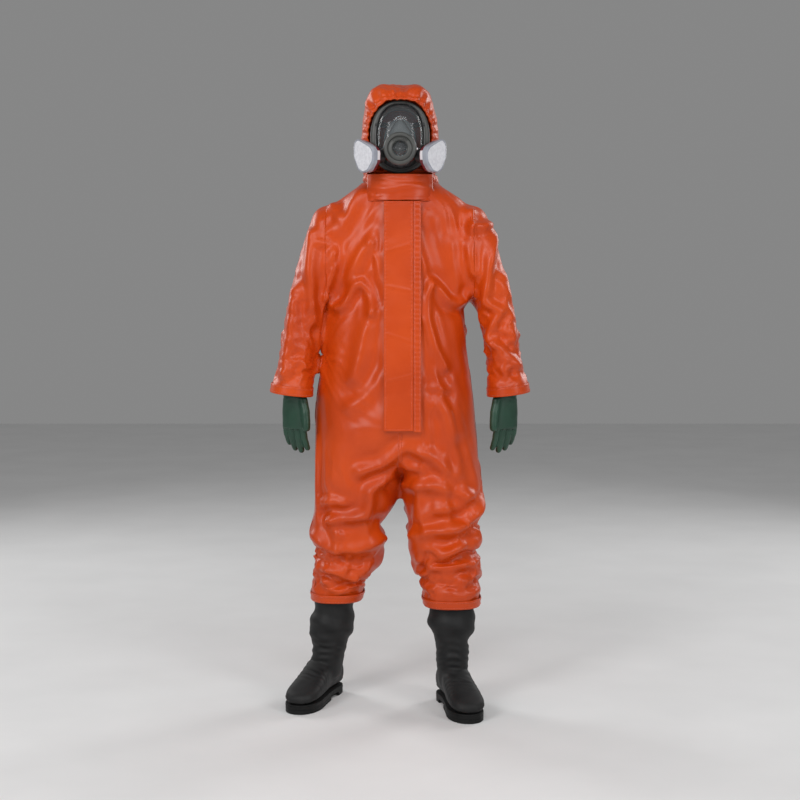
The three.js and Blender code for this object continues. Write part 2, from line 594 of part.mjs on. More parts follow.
// Each strap runs through a buckle: a small loop set on the strap near the respirator.
function buckle(path) {
  const at = strapRings(path, 1, 1)[2];
  const [a, b, , d] = at;
  const across = b.clone().sub(a).normalize();
  const out = d.clone().sub(a).normalize();
  const basis = new THREE.Matrix4().makeBasis(across, out, across.clone().cross(out));
  const loop = box(-12, 12, -4.2, 4.2, -7, 7).subtract(box(-9.2, 9.2, -2.6, 2.6, -20, 20));
  const centre = middle(at);
  return solid(geometryOf(loop).applyMatrix4(basis).translate(centre.x, centre.y, centre.z));
}
addPair("upper_buckle", buckle(UPPER), STEEL, mask);
addPair("lower_buckle", buckle(LOWER), STEEL, mask);

export default suit;
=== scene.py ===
"""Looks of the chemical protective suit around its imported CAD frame. Metres, +Z up, front towards -Y."""
from contextlib import contextmanager
import math

import bmesh
import bpy
import numpy as np
from mathutils import Matrix, Vector, noise
from mathutils.bvhtree import BVHTree


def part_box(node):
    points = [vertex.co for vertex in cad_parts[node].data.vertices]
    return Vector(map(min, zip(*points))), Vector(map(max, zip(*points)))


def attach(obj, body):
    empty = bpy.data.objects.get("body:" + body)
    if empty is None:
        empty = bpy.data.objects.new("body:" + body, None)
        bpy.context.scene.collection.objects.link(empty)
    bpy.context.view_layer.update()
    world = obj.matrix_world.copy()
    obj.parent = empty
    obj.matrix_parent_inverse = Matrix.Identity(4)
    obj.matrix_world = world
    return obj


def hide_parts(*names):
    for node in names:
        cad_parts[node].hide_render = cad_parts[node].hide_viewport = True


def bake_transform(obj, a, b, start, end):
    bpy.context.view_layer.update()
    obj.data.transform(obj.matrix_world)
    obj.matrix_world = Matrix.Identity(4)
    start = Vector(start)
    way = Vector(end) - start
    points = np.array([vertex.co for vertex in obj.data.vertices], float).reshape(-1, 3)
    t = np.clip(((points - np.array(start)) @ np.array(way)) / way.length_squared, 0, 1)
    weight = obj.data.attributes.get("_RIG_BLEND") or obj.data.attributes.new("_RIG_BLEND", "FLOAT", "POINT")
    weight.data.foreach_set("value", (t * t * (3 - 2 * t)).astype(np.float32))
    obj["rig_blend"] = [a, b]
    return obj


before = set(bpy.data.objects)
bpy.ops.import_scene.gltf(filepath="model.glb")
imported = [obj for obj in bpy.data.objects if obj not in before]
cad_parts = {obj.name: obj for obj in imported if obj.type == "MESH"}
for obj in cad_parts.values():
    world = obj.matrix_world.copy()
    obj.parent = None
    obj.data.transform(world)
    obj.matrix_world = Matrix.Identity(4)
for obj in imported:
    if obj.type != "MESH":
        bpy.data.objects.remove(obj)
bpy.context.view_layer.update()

MM = 0.001
X, Y, Z = Vector((1, 0, 0)), Vector((0, 1, 0)), Vector((0, 0, 1))
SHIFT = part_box("back_panel")[1].y - 0.146  # the wearer's middle lies this far behind the frame's origin

# ---------- shared sizes, in millimetres, as in the CAD model ----------
FLAP_LOW = 806
FRONT_LOW = -150
FRONT_SLOPE = 45 / 675
HEM = 292
NECK_CUT = 1512
ARM_PLANE = 213.5
SLIT = 7  # half the width of the opening behind the zip
WRIST = (306, -32)
HAND_TURN = math.radians(32)


# ---------- materials ----------
class Shader:
    """A node material around one Principled BSDF, with short calls for the textures that it needs."""

    def __init__(self, name, **values):
        self.mat = bpy.data.materials.new(name)
        self.mat.use_nodes = True
        self.tree = self.mat.node_tree
        self.bsdf = self.tree.nodes["Principled BSDF"]
        for key, value in values.items():
            self.bsdf.inputs[key.replace("_", " ")].default_value = value
        self.coord = self.tree.nodes.new("ShaderNodeTexCoord").outputs["Object"]
        self.normal = None

    def node(self, kind, **inputs):
        made = self.tree.nodes.new(kind)
        for key, value in inputs.items():
            socket = made.inputs[key.replace("_", " ")]
            if isinstance(value, bpy.types.NodeSocket):
                self.tree.links.new(value, socket)
            else:
                socket.default_value = value
        return made

    def noise(self, scale, detail=3.0, stretch=(1, 1, 1), distortion=0.0):
        mapping = self.node("ShaderNodeMapping", Vector=self.coord, Scale=stretch)
        made = self.node("ShaderNodeTexNoise", Vector=mapping.outputs[0], Scale=scale, Detail=detail,
                         Distortion=distortion)
        return made.outputs["Fac"]

    def cells(self, scale, feature="F1", stretch=(1, 1, 1)):
        mapping = self.node("ShaderNodeMapping", Vector=self.coord, Scale=stretch)
        made = self.node("ShaderNodeTexVoronoi", Vector=mapping.outputs[0], Scale=scale)
        made.feature = feature
        return made.outputs["Distance"]

    def weave(self, scale):
        pair = []
        for direction in ("X", "Z"):
            made = self.node("ShaderNodeTexWave", Vector=self.coord, Scale=scale, Distortion=0.3)
            made.bands_direction = direction
            pair.append(made.outputs["Fac"])
        both = self.node("ShaderNodeMath")
        both.operation = "MULTIPLY"
        self.tree.links.new(pair[0], both.inputs[0])
        self.tree.links.new(pair[1], both.inputs[1])
        return both.outputs[0]

    def ramp(self, fac, stops):
        made = self.node("ShaderNodeValToRGB", Fac=fac)
        ramp = made.color_ramp
        while len(ramp.elements) < len(stops):
            ramp.elements.new(0.5)
        for element, (at, color) in zip(ramp.elements, stops):
            element.position = at
            element.color = (*color, 1)
        return made.outputs["Color"]

    def color(self, fac, *stops):
        self.tree.links.new(self.ramp(fac, stops), self.bsdf.inputs["Base Color"])
        return self

    def rough(self, fac, low, high):
        made = self.node("ShaderNodeMapRange", Value=fac, To_Min=low, To_Max=high)
        self.tree.links.new(made.outputs[0], self.bsdf.inputs["Roughness"])
        return self

    def bump(self, height, strength, distance):
        inputs = {"Height": height, "Strength": strength, "Distance": distance}
        if self.normal:
            inputs["Normal"] = self.normal
        self.normal = self.node("ShaderNodeBump", **inputs).outputs[0]
        self.tree.links.new(self.normal, self.bsdf.inputs["Normal"])
        return self


def make_materials():
    made = {}
    s = Shader("coated_orange", Coat_Weight=0.06, Coat_Roughness=0.25, Specular_IOR_Level=0.34)
    s.color(s.noise(4.5, 4), (0.3, (0.46, 0.040, 0.0014)), (0.55, (0.57, 0.057, 0.0018)),
            (0.8, (0.65, 0.072, 0.0024)))
    s.rough(s.noise(9, 5), 0.30, 0.50)
    s.bump(s.noise(7, 3, distortion=0.6), 0.35, 0.004)
    s.bump(s.cells(26, "SMOOTH_F1", (1, 1, 0.6)), 0.22, 0.0016)
    s.bump(s.weave(420), 0.05, 0.0002)
    s.bump(s.noise(900, 2), 0.06, 0.0001)
    made["orange"] = s.mat

    s = Shader("green_lining", Sheen_Weight=0.15)
    s.color(s.weave(360), (0.2, (0.008, 0.028, 0.016)), (0.8, (0.02, 0.07, 0.04)))
    s.rough(s.noise(30, 3), 0.6, 0.8)
    s.bump(s.weave(360), 0.3, 0.0004)
    made["lining"] = s.mat

    s = Shader("glove_rubber", Specular_IOR_Level=0.5)
    s.color(s.noise(14, 5), (0.3, (0.006, 0.036, 0.019)), (0.7, (0.014, 0.060, 0.034)))
    s.rough(s.noise(22, 4), 0.34, 0.52)
    s.bump(s.noise(60, 4), 0.12, 0.0008)
    s.bump(s.noise(700, 2), 0.12, 0.0001)
    made["glove"] = s.mat

    s = Shader("boot_rubber", Specular_IOR_Level=0.35)
    s.color(s.noise(18, 5), (0.3, (0.0055, 0.0055, 0.006)), (0.75, (0.012, 0.012, 0.012)))
    s.rough(s.noise(26, 5), 0.5, 0.72)
    s.bump(s.noise(26, 5), 0.16, 0.0012)
    s.bump(s.noise(800, 2), 0.14, 0.0001)
    made["boot"] = s.mat

    s = Shader("sole_rubber", Specular_IOR_Level=0.3)
    s.color(s.noise(30, 5), (0.3, (0.0025, 0.0025, 0.0025)), (0.75, (0.006, 0.006, 0.006)))
    s.rough(s.noise(40, 5), 0.55, 0.8)
    s.bump(s.noise(90, 4), 0.2, 0.0006)
    made["sole"] = s.mat

    s = Shader("mask_rubber", Specular_IOR_Level=0.5)
    s.color(s.noise(20, 4), (0.3, (0.046, 0.048, 0.045)), (0.7, (0.070, 0.072, 0.067)))
    s.rough(s.noise(40, 4), 0.34, 0.5)
    s.bump(s.noise(500, 3), 0.1, 0.0001)
    made["grey"] = s.mat

    s = Shader("nose_cup_rubber", Specular_IOR_Level=0.6)
    s.color(s.noise(16, 3), (0.3, (0.15, 0.17, 0.175)), (0.7, (0.19, 0.21, 0.215)))
    s.rough(s.noise(12, 3), 0.16, 0.26)
    s.bump(s.noise(500, 2), 0.03, 0.0001)
    made["cup"] = s.mat

    s = Shader("mask_plastic", Specular_IOR_Level=0.5)
    s.color(s.noise(60, 3), (0.3, (0.014, 0.0145, 0.015)), (0.7, (0.022, 0.023, 0.024)))
    s.rough(s.noise(70, 4), 0.32, 0.5)
    s.bump(s.noise(900, 2), 0.12, 0.0001)
    made["dark"] = s.mat

    s = Shader("filter_shell", Specular_IOR_Level=0.6, Alpha=0.72, Coat_Weight=0.3)
    s.color(s.noise(30, 3), (0.3, (0.36, 0.38, 0.44)), (0.7, (0.46, 0.48, 0.54)))
    s.rough(s.noise(60, 4), 0.16, 0.3)
    s.bump(s.noise(300, 2), 0.05, 0.0001)
    made["shell"] = s.mat

    s = Shader("filter_cloth", Sheen_Weight=0.2)
    s.color(s.noise(120, 5), (0.3, (0.60, 0.60, 0.64)), (0.7, (0.74, 0.74, 0.78)))
    s.rough(s.noise(90, 4), 0.75, 0.95)
    s.bump(s.noise(350, 4), 0.35, 0.0005)
    made["filter"] = s.mat

    s = Shader("cartridge_maroon", Coat_Weight=0.2)
    s.color(s.noise(40, 3), (0.3, (0.13, 0.008, 0.014)), (0.7, (0.19, 0.012, 0.02)))
    s.rough(s.noise(60, 4), 0.22, 0.36)
    s.bump(s.noise(500, 2), 0.06, 0.0001)
    made["maroon"] = s.mat

    s = Shader("label_paper")
    s.color(s.noise(50, 3), (0.3, (0.66, 0.62, 0.64)), (0.7, (0.78, 0.74, 0.76)))
    s.rough(s.noise(70, 4), 0.4, 0.6)
    s.bump(s.noise(400, 2), 0.08, 0.0001)
    made["label"] = s.mat

    s = Shader("visor_clear", Alpha=0.16, IOR=1.5, Specular_IOR_Level=0.6)
    s.color(s.noise(10, 2), (0.2, (0.13, 0.14, 0.15)), (0.8, (0.17, 0.18, 0.19)))
    s.rough(s.noise(18, 3), 0.07, 0.11)
    s.bump(s.noise(12, 1), 0.01, 0.0002)
    made["clear"] = s.mat

    s = Shader("satin_metal", Metallic=1.0)
    s.color(s.noise(60, 3, (1, 1, 12)), (0.3, (0.30, 0.30, 0.29)), (0.7, (0.46, 0.46, 0.45)))
    s.rough(s.noise(80, 4, (1, 1, 10)), 0.25, 0.45)
    s.bump(s.noise(300, 2, (1, 1, 14)), 0.08, 0.0001)
    made["metal"] = s.mat

    s = Shader("webbing", Sheen_Weight=0.2)
    s.color(s.weave(260), (0.2, (0.010, 0.010, 0.011)), (0.8, (0.032, 0.032, 0.034)))
    s.rough(s.noise(60, 3), 0.6, 0.85)
    s.bump(s.weave(260), 0.5, 0.0006)
    made["webbing"] = s.mat

    s = Shader("thread", Sheen_Weight=0.3)
    s.color(s.noise(400, 2), (0.3, (0.55, 0.07, 0.03)), (0.7, (0.80, 0.16, 0.07)))
    s.rough(s.noise(300, 2), 0.45, 0.65)
    s.bump(s.noise(1500, 2), 0.3, 0.0001)
    made["thread"] = s.mat
    return made


MATERIAL = make_materials()


# ---------- making and placing pieces ----------
def mesh_object(name, verts, faces):
    mesh = bpy.data.meshes.new(name)
    mesh.from_pydata([tuple(v) for v in verts], [], faces)
    mesh.update()
    obj = bpy.data.objects.new(name, mesh)
    bpy.context.scene.collection.objects.link(obj)
    return obj


def coords(obj):
    co = np.empty(len(obj.data.vertices) * 3)
    obj.data.vertices.foreach_get("co", co)
    return co.reshape(-1, 3)


def set_coords(obj, co):
    obj.data.vertices.foreach_set("co", co.ravel())
    obj.data.update()


def normals(obj):
    no = np.empty(len(obj.data.vertices) * 3)
    obj.data.vertices.foreach_get("normal", no)
    return no.reshape(-1, 3)


def bake(obj):
    """Applies every modifier."""
    graph = bpy.context.evaluated_depsgraph_get()
    mesh = bpy.data.meshes.new_from_object(obj.evaluated_get(graph))
    obj.modifiers.clear()
    old = obj.data
    obj.data = mesh
    bpy.data.meshes.remove(old)
    return obj


def modify(obj, kind, **values):
    made = obj.modifiers.new(kind.lower(), kind)
    for key, value in values.items():
        setattr(made, key, value)
    return bake(obj)


@contextmanager
def editing(obj):
    bm = bmesh.new()
    bm.from_mesh(obj.data)
    yield bm
    bm.to_mesh(obj.data)
    bm.free()


def whole(bm):
    return list(bm.verts) + list(bm.edges) + list(bm.faces)


def faces_out(obj):
    with editing(obj) as bm:
        bmesh.ops.recalc_face_normals(bm, faces=bm.faces)
    return obj


def block(name, corners):
    """A solid with six flat sides: its eight corners are a ring below and the same ring above."""
    sides = [(0, 3, 2, 1), (4, 5, 6, 7), (0, 1, 5, 4), (1, 2, 6, 5), (2, 3, 7, 6), (3, 0, 4, 7)]
    return mesh_object(name, corners, sides)


def paint(obj, *keys):
    for key in keys:
        obj.data.materials.append(MATERIAL[key])
    return obj


def way_at(path, i):
    """The direction of a path at its point i."""
    return (path[min(i + 1, len(path) - 1)] - path[max(i - 1, 0)]).normalized()


def peak(value, centre, half):
    """A smooth bump of height 1 at centre."""
    return np.exp(-((value - centre) / half) ** 2)


def bead(name, path, out, wide, high, sides):
    """A round bead on a closed path, in millimetres."""
    rings = [[(p + o * math.cos(2 * math.pi * j / sides) * wide + Z * math.sin(2 * math.pi * j / sides)
               * high) * MM
              for j in range(sides)] for p, o in zip(path, out)]
    return loft(name, rings + rings[:1], caps=False)


def joined(name, objs):
    bpy.ops.object.select_all(action="DESELECT")
    for obj in objs:
        obj.select_set(True)
    bpy.context.view_layer.objects.active = objs[0]
    bpy.ops.object.join()
    objs[0].name = name
    return objs[0]


def remeshed(obj, voxel, smooth=4):
    modify(obj, "REMESH", mode="VOXEL", voxel_size=voxel)
    if smooth:
        modify(obj, "CORRECTIVE_SMOOTH", iterations=smooth, use_only_smooth=True)
    return obj


def place(obj, body, slot, material, *nodes, flat_shade=False):
    """Shades the piece, gives it its material, and rides it on its body in the place of the CAD nodes."""
    if material:
        obj.data.materials.clear()
        obj.data.materials.append(MATERIAL[material])
    if not flat_shade:
        obj.data.polygons.foreach_set("use_smooth", [True] * len(obj.data.polygons))
    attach(obj, body)
    if nodes:
        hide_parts(*nodes)
    return obj


def superellipse(angle, half_u, half_v, power):
    c, s = math.cos(angle), math.sin(angle)
    u = math.copysign(abs(c) ** (2 / power), c) * half_u
    return u, math.copysign(abs(s) ** (2 / power), s) * half_v


def ring(centre, across, deep, half_u, half_v, power, sides):
    out = []
    for k in range(sides):
        u, v = superellipse(2 * math.pi * k / sides, half_u, half_v, power)
        out.append(centre + across * u + deep * v)
    return out


def spline(rings, steps):
    """More rings between the given ones, on a Catmull-Rom curve through each point."""
    out = []
    last = len(rings) - 1
    for i in range(last):
        a, b, c, d = (rings[min(max(k, 0), last)] for k in (i - 1, i, i + 1, i + 2))
        for j in range(steps):
            t = j / steps
            w = (-0.5 * t + t * t - 0.5 * t**3, 1 - 2.5 * t * t + 1.5 * t**3,
                 0.5 * t + 2 * t * t - 1.5 * t**3, -0.5 * t * t + 0.5 * t**3)
            out.append([p * w[0] + q * w[1] + r * w[2] + s * w[3] for p, q, r, s in zip(a, b, c, d)])
    out.append(rings[-1])
    return out


def loft(name, rings, closed=True, caps=True):
    sides = len(rings[0])
    verts = [p for r in rings for p in r]
    faces = []
    for r in range(len(rings) - 1):
        for s in range(sides if closed else sides - 1):
            n = (s + 1) % sides
            faces.append((r * sides + s, r * sides + n, (r + 1) * sides + n, (r + 1) * sides + s))
    if caps:
        faces.append(tuple(reversed(range(sides))))
        faces.append(tuple((len(rings) - 1) * sides + s for s in range(sides)))
    return faces_out(mesh_object(name, verts, faces))


def lathe(name, profile, origin, axis, sides=64, closed=True):
    """A profile of (radius, distance along axis), in millimetres, turned about the axis through origin."""
    axis = axis.normalized()
    u = axis.orthogonal().normalized()
    v = axis.cross(u)
    verts, faces = [], []
    count = len(profile)
    for k in range(sides):
        a = 2 * math.pi * k / sides
        out = u * math.cos(a) + v * math.sin(a)
        verts += [origin + (out * r + axis * d) * MM for r, d in profile]
    for k in range(sides):
        n = (k + 1) % sides
        for i in range(count if closed else count - 1):
            j = (i + 1) % count
            faces.append((k * count + i, n * count + i, n * count + j, k * count + j))
    obj = mesh_object(name, verts, faces)
    with editing(obj) as bm:
        bmesh.ops.remove_doubles(bm, verts=bm.verts, dist=1e-6)
    return faces_out(obj)


def bevelled(obj, width, segments=2, angle=35):
    return modify(obj, "BEVEL", width=width, segments=segments, limit_method="ANGLE",
                  angle_limit=math.radians(angle))


def smoothstep(a, b, value):
    t = np.clip((value - a) / (b - a), 0, 1)
    return t * t * (3 - 2 * t)


# ---------- camera, light and floor ----------
def make_stage():
    scene = bpy.context.scene
    scene.view_settings.view_transform = "Standard"
    floor = mesh_object("floor", [(-8, -6, 0), (8, -6, 0), (8, 8, 0), (-8, 8, 0)], [(0, 1, 2, 3)])
    s = Shader("pale_floor")
    s.color(s.noise(3, 3), (0.3, (0.78, 0.78, 0.78)), (0.7, (0.82, 0.82, 0.82)))
    s.rough(s.noise(9, 3), 0.6, 0.75)
    floor.data.materials.append(s.mat)
    world = bpy.data.worlds.new("studio")
    scene.world = world
    world.use_nodes = True
    world.node_tree.nodes["Background"].inputs[0].default_value = (1, 1, 1, 1)
    world.node_tree.nodes["Background"].inputs[1].default_value = 0.24
    lamps = [  # place, size across and up, power
        ((-2.3, -3.2, 2.5), (1.2, 2.0), 66),
        ((2.5, -2.8, 2.2), (1.1, 2.0), 40),
        ((0.1, -3.0, 3.6), (2.0, 0.8), 40),
        ((-2.6, 2.4, 2.4), (1.0, 2.0), 40),
        ((2.6, 2.6, 2.4), (1.0, 2.0), 40),
    ]
    for at, (wide, high), power in lamps:
        lamp = bpy.data.lights.new("softbox", "AREA")
        lamp.shape = "RECTANGLE"
        lamp.size, lamp.size_y, lamp.energy = wide, high, power
        obj = bpy.data.objects.new("softbox", lamp)
        obj.location = at
        obj.rotation_euler = (Vector((0, 0, 1.15)) - Vector(at)).to_track_quat("-Z", "Y").to_euler()
        scene.collection.objects.link(obj)
    camera = bpy.data.cameras.new("camera")
    camera.lens = 74
    camera.shift_y = -0.18
    camera.clip_start = 0.05
    obj = bpy.data.objects.new("camera", camera)
    obj.location = (0, -4.8 + SHIFT, 1.3)
    obj.rotation_euler = (math.pi / 2, 0, 0)
    scene.collection.objects.link(obj)
    scene.camera = obj


make_stage()


# ---------- coverall ----------
def front_line(z):
    return FRONT_LOW + (z - FLAP_LOW) * FRONT_SLOPE


TORSO = [  # level, middle, half width, front, back
    (688, 0, 226, -114, 126), (745, 0, 235, -140, 140), (800, -2, 232, front_line(800), 146),
    (900, -4, 224, front_line(900), 145), (1000, -8, 214, front_line(1000), 138),
    (1120, -10, 205, front_line(1120), 134), (1250, -6, 205, front_line(1250), 136),
    (1360, 0, 208, front_line(1360), 130), (1430, 0, 204, front_line(1430), 114), (1466, 0, 186, -100, 98),
    (1484, 0, 160, -92, 88), (1496, 0, 128, -84, 82), (1530, 0, 98, -80, 84),
]
LEG_RIGHT = [
    (760, -119, 113, -128, 136), (690, -127, 121, -130, 138), (600, -136, 118, -116, 130),
    (552, -152, 104, -106, 122),
    (505, -152, 112, -100, 124), (452, -150, 100, -82, 126), (412, -158, 102, -70, 134),
    (350, -180, 86, -52, 142),
    (HEM, -186, 75, -36, 140), (HEM - 30, -186, 74, -34, 140),
]
LEG_LEFT = [
    (760, 118, 112, -128, 136), (690, 124, 118, -130, 138), (595, 136, 126, -128, 118),
    (545, 122, 110, -122, 108),
    (500, 128, 116, -128, 98), (455, 122, 102, -118, 86), (412, 136, 104, -122, 80), (350, 146, 92, -126, 68),
    (HEM, 150, 81, -120, 56), (HEM - 30, 150, 80, -120, 56),
]
SLEEVE = [  # inner point and outer point, across and up, then front and back
    ((180, 1182), (180, 1454), -94, 102), ((217, 1172), (238, 1450), -98, 102),
    ((220, 1160), (268, 1402), -99, 100),
    ((223, 1140), (303, 1300), -100, 93), ((229, 1100), (331, 1178), -98, 82),
    ((240, 1035), (350, 1068), -100, 66),
    ((249, 965), (364, 982), -105, 52), ((253, 893), (376, 908), -109, 43),
    ((256, 862), (380, 878), -110, 40),
]
CUFF = SLEEVE[-2]

# Crests of the big folds: points across and up on the front, then height and half width of the crest.
FRONT_FOLDS = [
    ([(-208, 1176), (-198, 1160), (-178, 1150), (-158, 1161), (-137, 1202), (-112, 1224), (-94, 1201),
      (-79, 1160),
      (-79, 1138)], 15, 11),
    ([(-79, 1138), (-97, 1084), (-109, 1028), (-125, 957)], 15, 22),
    ([(-112, 1488), (-148, 1420), (-168, 1384)], 12, 16),
    ([(-194, 1445), (-186, 1425), (-178, 1410)], 10, 12),
    ([(-86, 1344), (-118, 1292), (-138, 1232)], 12, 20),
    ([(-82, 1338), (-66, 1288), (-52, 1226)], 9, 9),
    ([(-190, 1310), (-192, 1250), (-206, 1190)], 10, 12),
    ([(128, 982), (100, 1043), (79, 1120), (77, 1186), (92, 1224), (112, 1206), (138, 1171), (163, 1160),
      (184, 1171), (194, 1186)], 15, 11),
    ([(150, 1330), (158, 1260), (168, 1190)], 9, 22),
    ([(204, 1425), (204, 1390), (201, 1292), (214, 1250)], 13, 13),
    ([(60, 1400), (70, 1420), (60, 1390)], 5, 10),
    ([(-50, 957), (-96, 905), (-140, 870)], 9, 18),
    ([(88, 925), (110, 925), (135, 918)], 7, 9),
    ([(100, 880), (140, 850), (160, 800)], 8, 20),
    # right leg
    ([(-6, 738), (-52, 700), (-114, 685)], 15, 15),
    ([(-26, 667), (-68, 645), (-88, 628), (-85, 600), (-97, 558), (-135, 551), (-202, 545)], 17, 13),
    ([(-160, 591), (-196, 596), (-230, 585)], 11, 12),
    ([(-200, 536), (-180, 495), (-182, 460)], 9, 12),
    ([(-248, 490), (-198, 453), (-122, 457), (-48, 482)], 13, 13),
    ([(-236, 390), (-196, 391), (-134, 373), (-92, 394)], 11, 10),
    ([(-212, 430), (-216, 400), (-160, 384), (-150, 430)], 9, 9),
    ([(-226, 361), (-164, 366), (-84, 368)], 12, 9),
    ([(-218, 353), (-180, 327), (-134, 340), (-96, 345)], 9, 9),
    # left leg
    ([(17, 754), (90, 729), (154, 670)], 13, 16),
    ([(12, 712), (24, 696), (60, 690)], 9, 12),
    ([(3, 641), (99, 648), (204, 612)], 14, 15),
    ([(74, 520), (183, 533), (254, 591)], 17, 13),
    ([(60, 545), (100, 575), (180, 590)], 8, 14),
    ([(7, 487), (32, 503), (158, 512), (187, 528)], 13, 12),
    ([(57, 424), (116, 437), (175, 474)], 12, 12),
    ([(87, 407), (141, 412), (241, 424)], 13, 11),
    ([(53, 391), (99, 382), (191, 374)], 11, 10),
    ([(60, 352), (110, 345), (158, 336), (229, 345)], 10, 10),
    ([(90, 322), (150, 318), (215, 330)], 6, 9),
    # right sleeve
    ([(-254, 1364), (-260, 1262), (-249, 1109)], 12, 13),
    ([(-300, 1200), (-316, 1058), (-326, 1007), (-333, 964)], 13, 15),
    ([(-232, 1338), (-212, 1336)], 8, 9),
    ([(-330, 960), (-290, 1000), (-262, 985)], 8, 9),
    # left sleeve
    ([(212, 1384), (280, 1392), (255, 1262), (242, 1165), (290, 1145), (255, 1079), (306, 982)], 14, 12),
    ([(250, 1060), (290, 1040), (340, 985)], 12, 11),
    ([(300, 1240), (316, 1150), (322, 1060)], 9, 14),
    ([(262, 1035), (275, 990), (300, 960)], 8, 10),
]
BACK_FOLDS = [
    ([(-150, 1430), (-100, 1340), (-60, 1180)], 12, 18),
    ([(150, 1430), (104, 1330), (66, 1190)], 12, 18),
    ([(-196, 1300), (-150, 1180), (-60, 1090), (20, 1060)], 11, 16),
    ([(200, 1290), (140, 1160), (50, 1080)], 11, 16),
    ([(-200, 1060), (-100, 1000), (60, 1010), (190, 1080)], 10, 18),
    ([(-180, 940), (-60, 900), (60, 905), (180, 950)], 10, 20),
    ([(-150, 800), (-60, 770), (-10, 720)], 12, 16), ([(150, 800), (60, 768), (10, 718)], 12, 16),
    ([(-240, 690), (-140, 660), (-30, 690)], 13, 14), ([(240, 690), (140, 655), (30, 690)], 13, 14),
    ([(-250, 560), (-160, 600), (-40, 570)], 14, 13), ([(250, 575), (140, 600), (25, 560)], 14, 13),
    ([(-250, 500), (-150, 520), (-60, 470)], 14, 13), ([(240, 505), (130, 470), (25, 500)], 14, 13),
    ([(-256, 430), (-160, 410), (-80, 440)], 13, 11), ([(235, 430), (140, 415), (50, 440)], 13, 11),
    ([(-250, 370), (-180, 350), (-110, 372)], 11, 10), ([(230, 372), (150, 345), (75, 366)], 11, 10),
    ([(-260, 1340), (-262, 1220), (-280, 1120)], 11, 13), ([(262, 1340), (262, 1230), (278, 1130)], 11, 13),
    ([(-250, 1080), (-300, 1040), (-345, 1070)], 12, 11), ([(250, 1080), (300, 1040), (345, 1070)], 12, 11),
    ([(-255, 980), (-300, 1000), (-350, 960)], 10, 11), ([(255, 985), (300, 1002), (350, 965)], 10, 11),
]


def level_ring(section, power=2.5, sides=56):
    z, x, half, front, back = section
    centre = Vector((x, (front + back) / 2, z)) * MM + Vector((0, SHIFT, 0))
    return ring(centre, X, Y, half * MM, (back - front) / 2 * MM, power, sides)


def sleeve_ring(section, side, grow=0, power=2.2, sides=48):
    (x_in, z_in), (x_out, z_out), front, back = section
    inner, outer = Vector((x_in * side, 0, z_in)) * MM, Vector((x_out * side, 0, z_out)) * MM
    across = outer - inner
    centre = (inner + outer) / 2 + Vector((0, (front + back) / 2 * MM + SHIFT, 0))
    return ring(centre, across.normalized(), Y, across.length / 2 + grow * MM,
                (back - front) / 2 * MM + grow * MM,
                power, sides)


def cuff_plane(side):
    (x_in, z_in), (x_out, z_out) = CUFF[:2]
    a, b = Vector((x_in * side, 0, z_in)) * MM, Vector((x_out * side, 0, z_out)) * MM
    along = b - a
    return a, Vector((along.z, 0, -along.x)).normalized() * side


def sewn_shape(voxel):
    parts = [loft("torso", spline([level_ring(s) for s in TORSO], 3))]
    parts += [loft("leg", spline([level_ring(s) for s in leg], 3)) for leg in (LEG_RIGHT, LEG_LEFT)]
    parts += [loft("arm", spline([sleeve_ring(s, side) for s in SLEEVE], 3)) for side in (-1, 1)]
    return remeshed(joined("coverall", parts), voxel, 6)


def fold_height(co, folds):
    """How far each point is raised by the crests, in metres: a rounded crest with a shallow trough beside it."""
    u, w = co[:, 0] / MM, co[:, 2] / MM
    out = np.zeros(len(co))
    for points, height, half in folds:
        nearest = np.full(len(co), 1e9)
        for (x0, z0), (x1, z1) in zip(points, points[1:]):
            dx, dz = x1 - x0, z1 - z0
            t = np.clip(((u - x0) * dx + (w - z0) * dz) / (dx * dx + dz * dz), 0, 1)
            nearest = np.minimum(nearest, np.hypot(u - x0 - t * dx, w - z0 - t * dz))
        crest = peak(nearest, 0, half) - 0.42 * peak(nearest, 2.2 * half, 1.1 * half)
        out += height * MM * crest
    return out


def raise_folds(obj):
    co, no = coords(obj), normals(obj)
    x, y, z = co.T
    front, back = smoothstep(0.1, -0.25, no[:, 1]), smoothstep(-0.1, 0.25, no[:, 1])
    flap = smoothstep(50, 62, np.abs(x / MM - 2)) + (y > SHIFT) + (z < FLAP_LOW * MM)
    ends = smoothstep(HEM * MM, HEM * MM + 0.03, z) * smoothstep(NECK_CUT * MM, NECK_CUT * MM - 0.04, z)
    lift = (fold_height(co, FRONT_FOLDS) * front + fold_height(co, BACK_FOLDS) * back) * np.clip(flap, 0,
                                                                                                 1) * ends
    co += no * lift[:, None]
    by_hand = smoothstep(0.50, 0.56, z) * smoothstep(0.84, 0.80, z) * (np.abs(x) < 0.30)
    co[:, 0] -= np.sign(x) * np.clip(np.abs(co[:, 0]) - 0.243, 0, None) * 0.7 * by_hand
    set_coords(obj, co)


def wearer(shape):
    """The collider that stands for the body inside, lower than the cloth by more where the suit is loose."""
    body = shape.copy()
    body.data = shape.data.copy()
    bpy.context.scene.collection.objects.link(body)
    co, no = coords(body), normals(body)
    x, z = np.abs(co[:, 0]), co[:, 2]
    room = np.full(len(co), 0.013)
    room = np.where(z < 0.72, 0.019, room)
    room = np.where(z > 1.40, 0.009, room)
    cuff = z - (0.893 + (x - 0.246) * 0.115)
    ends = np.minimum(smoothstep(0.30, 0.36, z), np.where((x > 0.238) & (z > 0.84),
                                                          smoothstep(0.01, 0.06, cuff), 1))
    room = 0.004 + (room - 0.004) * ends
    set_coords(body, co - no * room[:, None])
    modify(body, "CORRECTIVE_SMOOTH", iterations=10, use_only_smooth=True)
    body.modifiers.new("collision", "COLLISION")
    body.collision.thickness_outer = 0.002
    body.collision.cloth_friction = 25
    return body


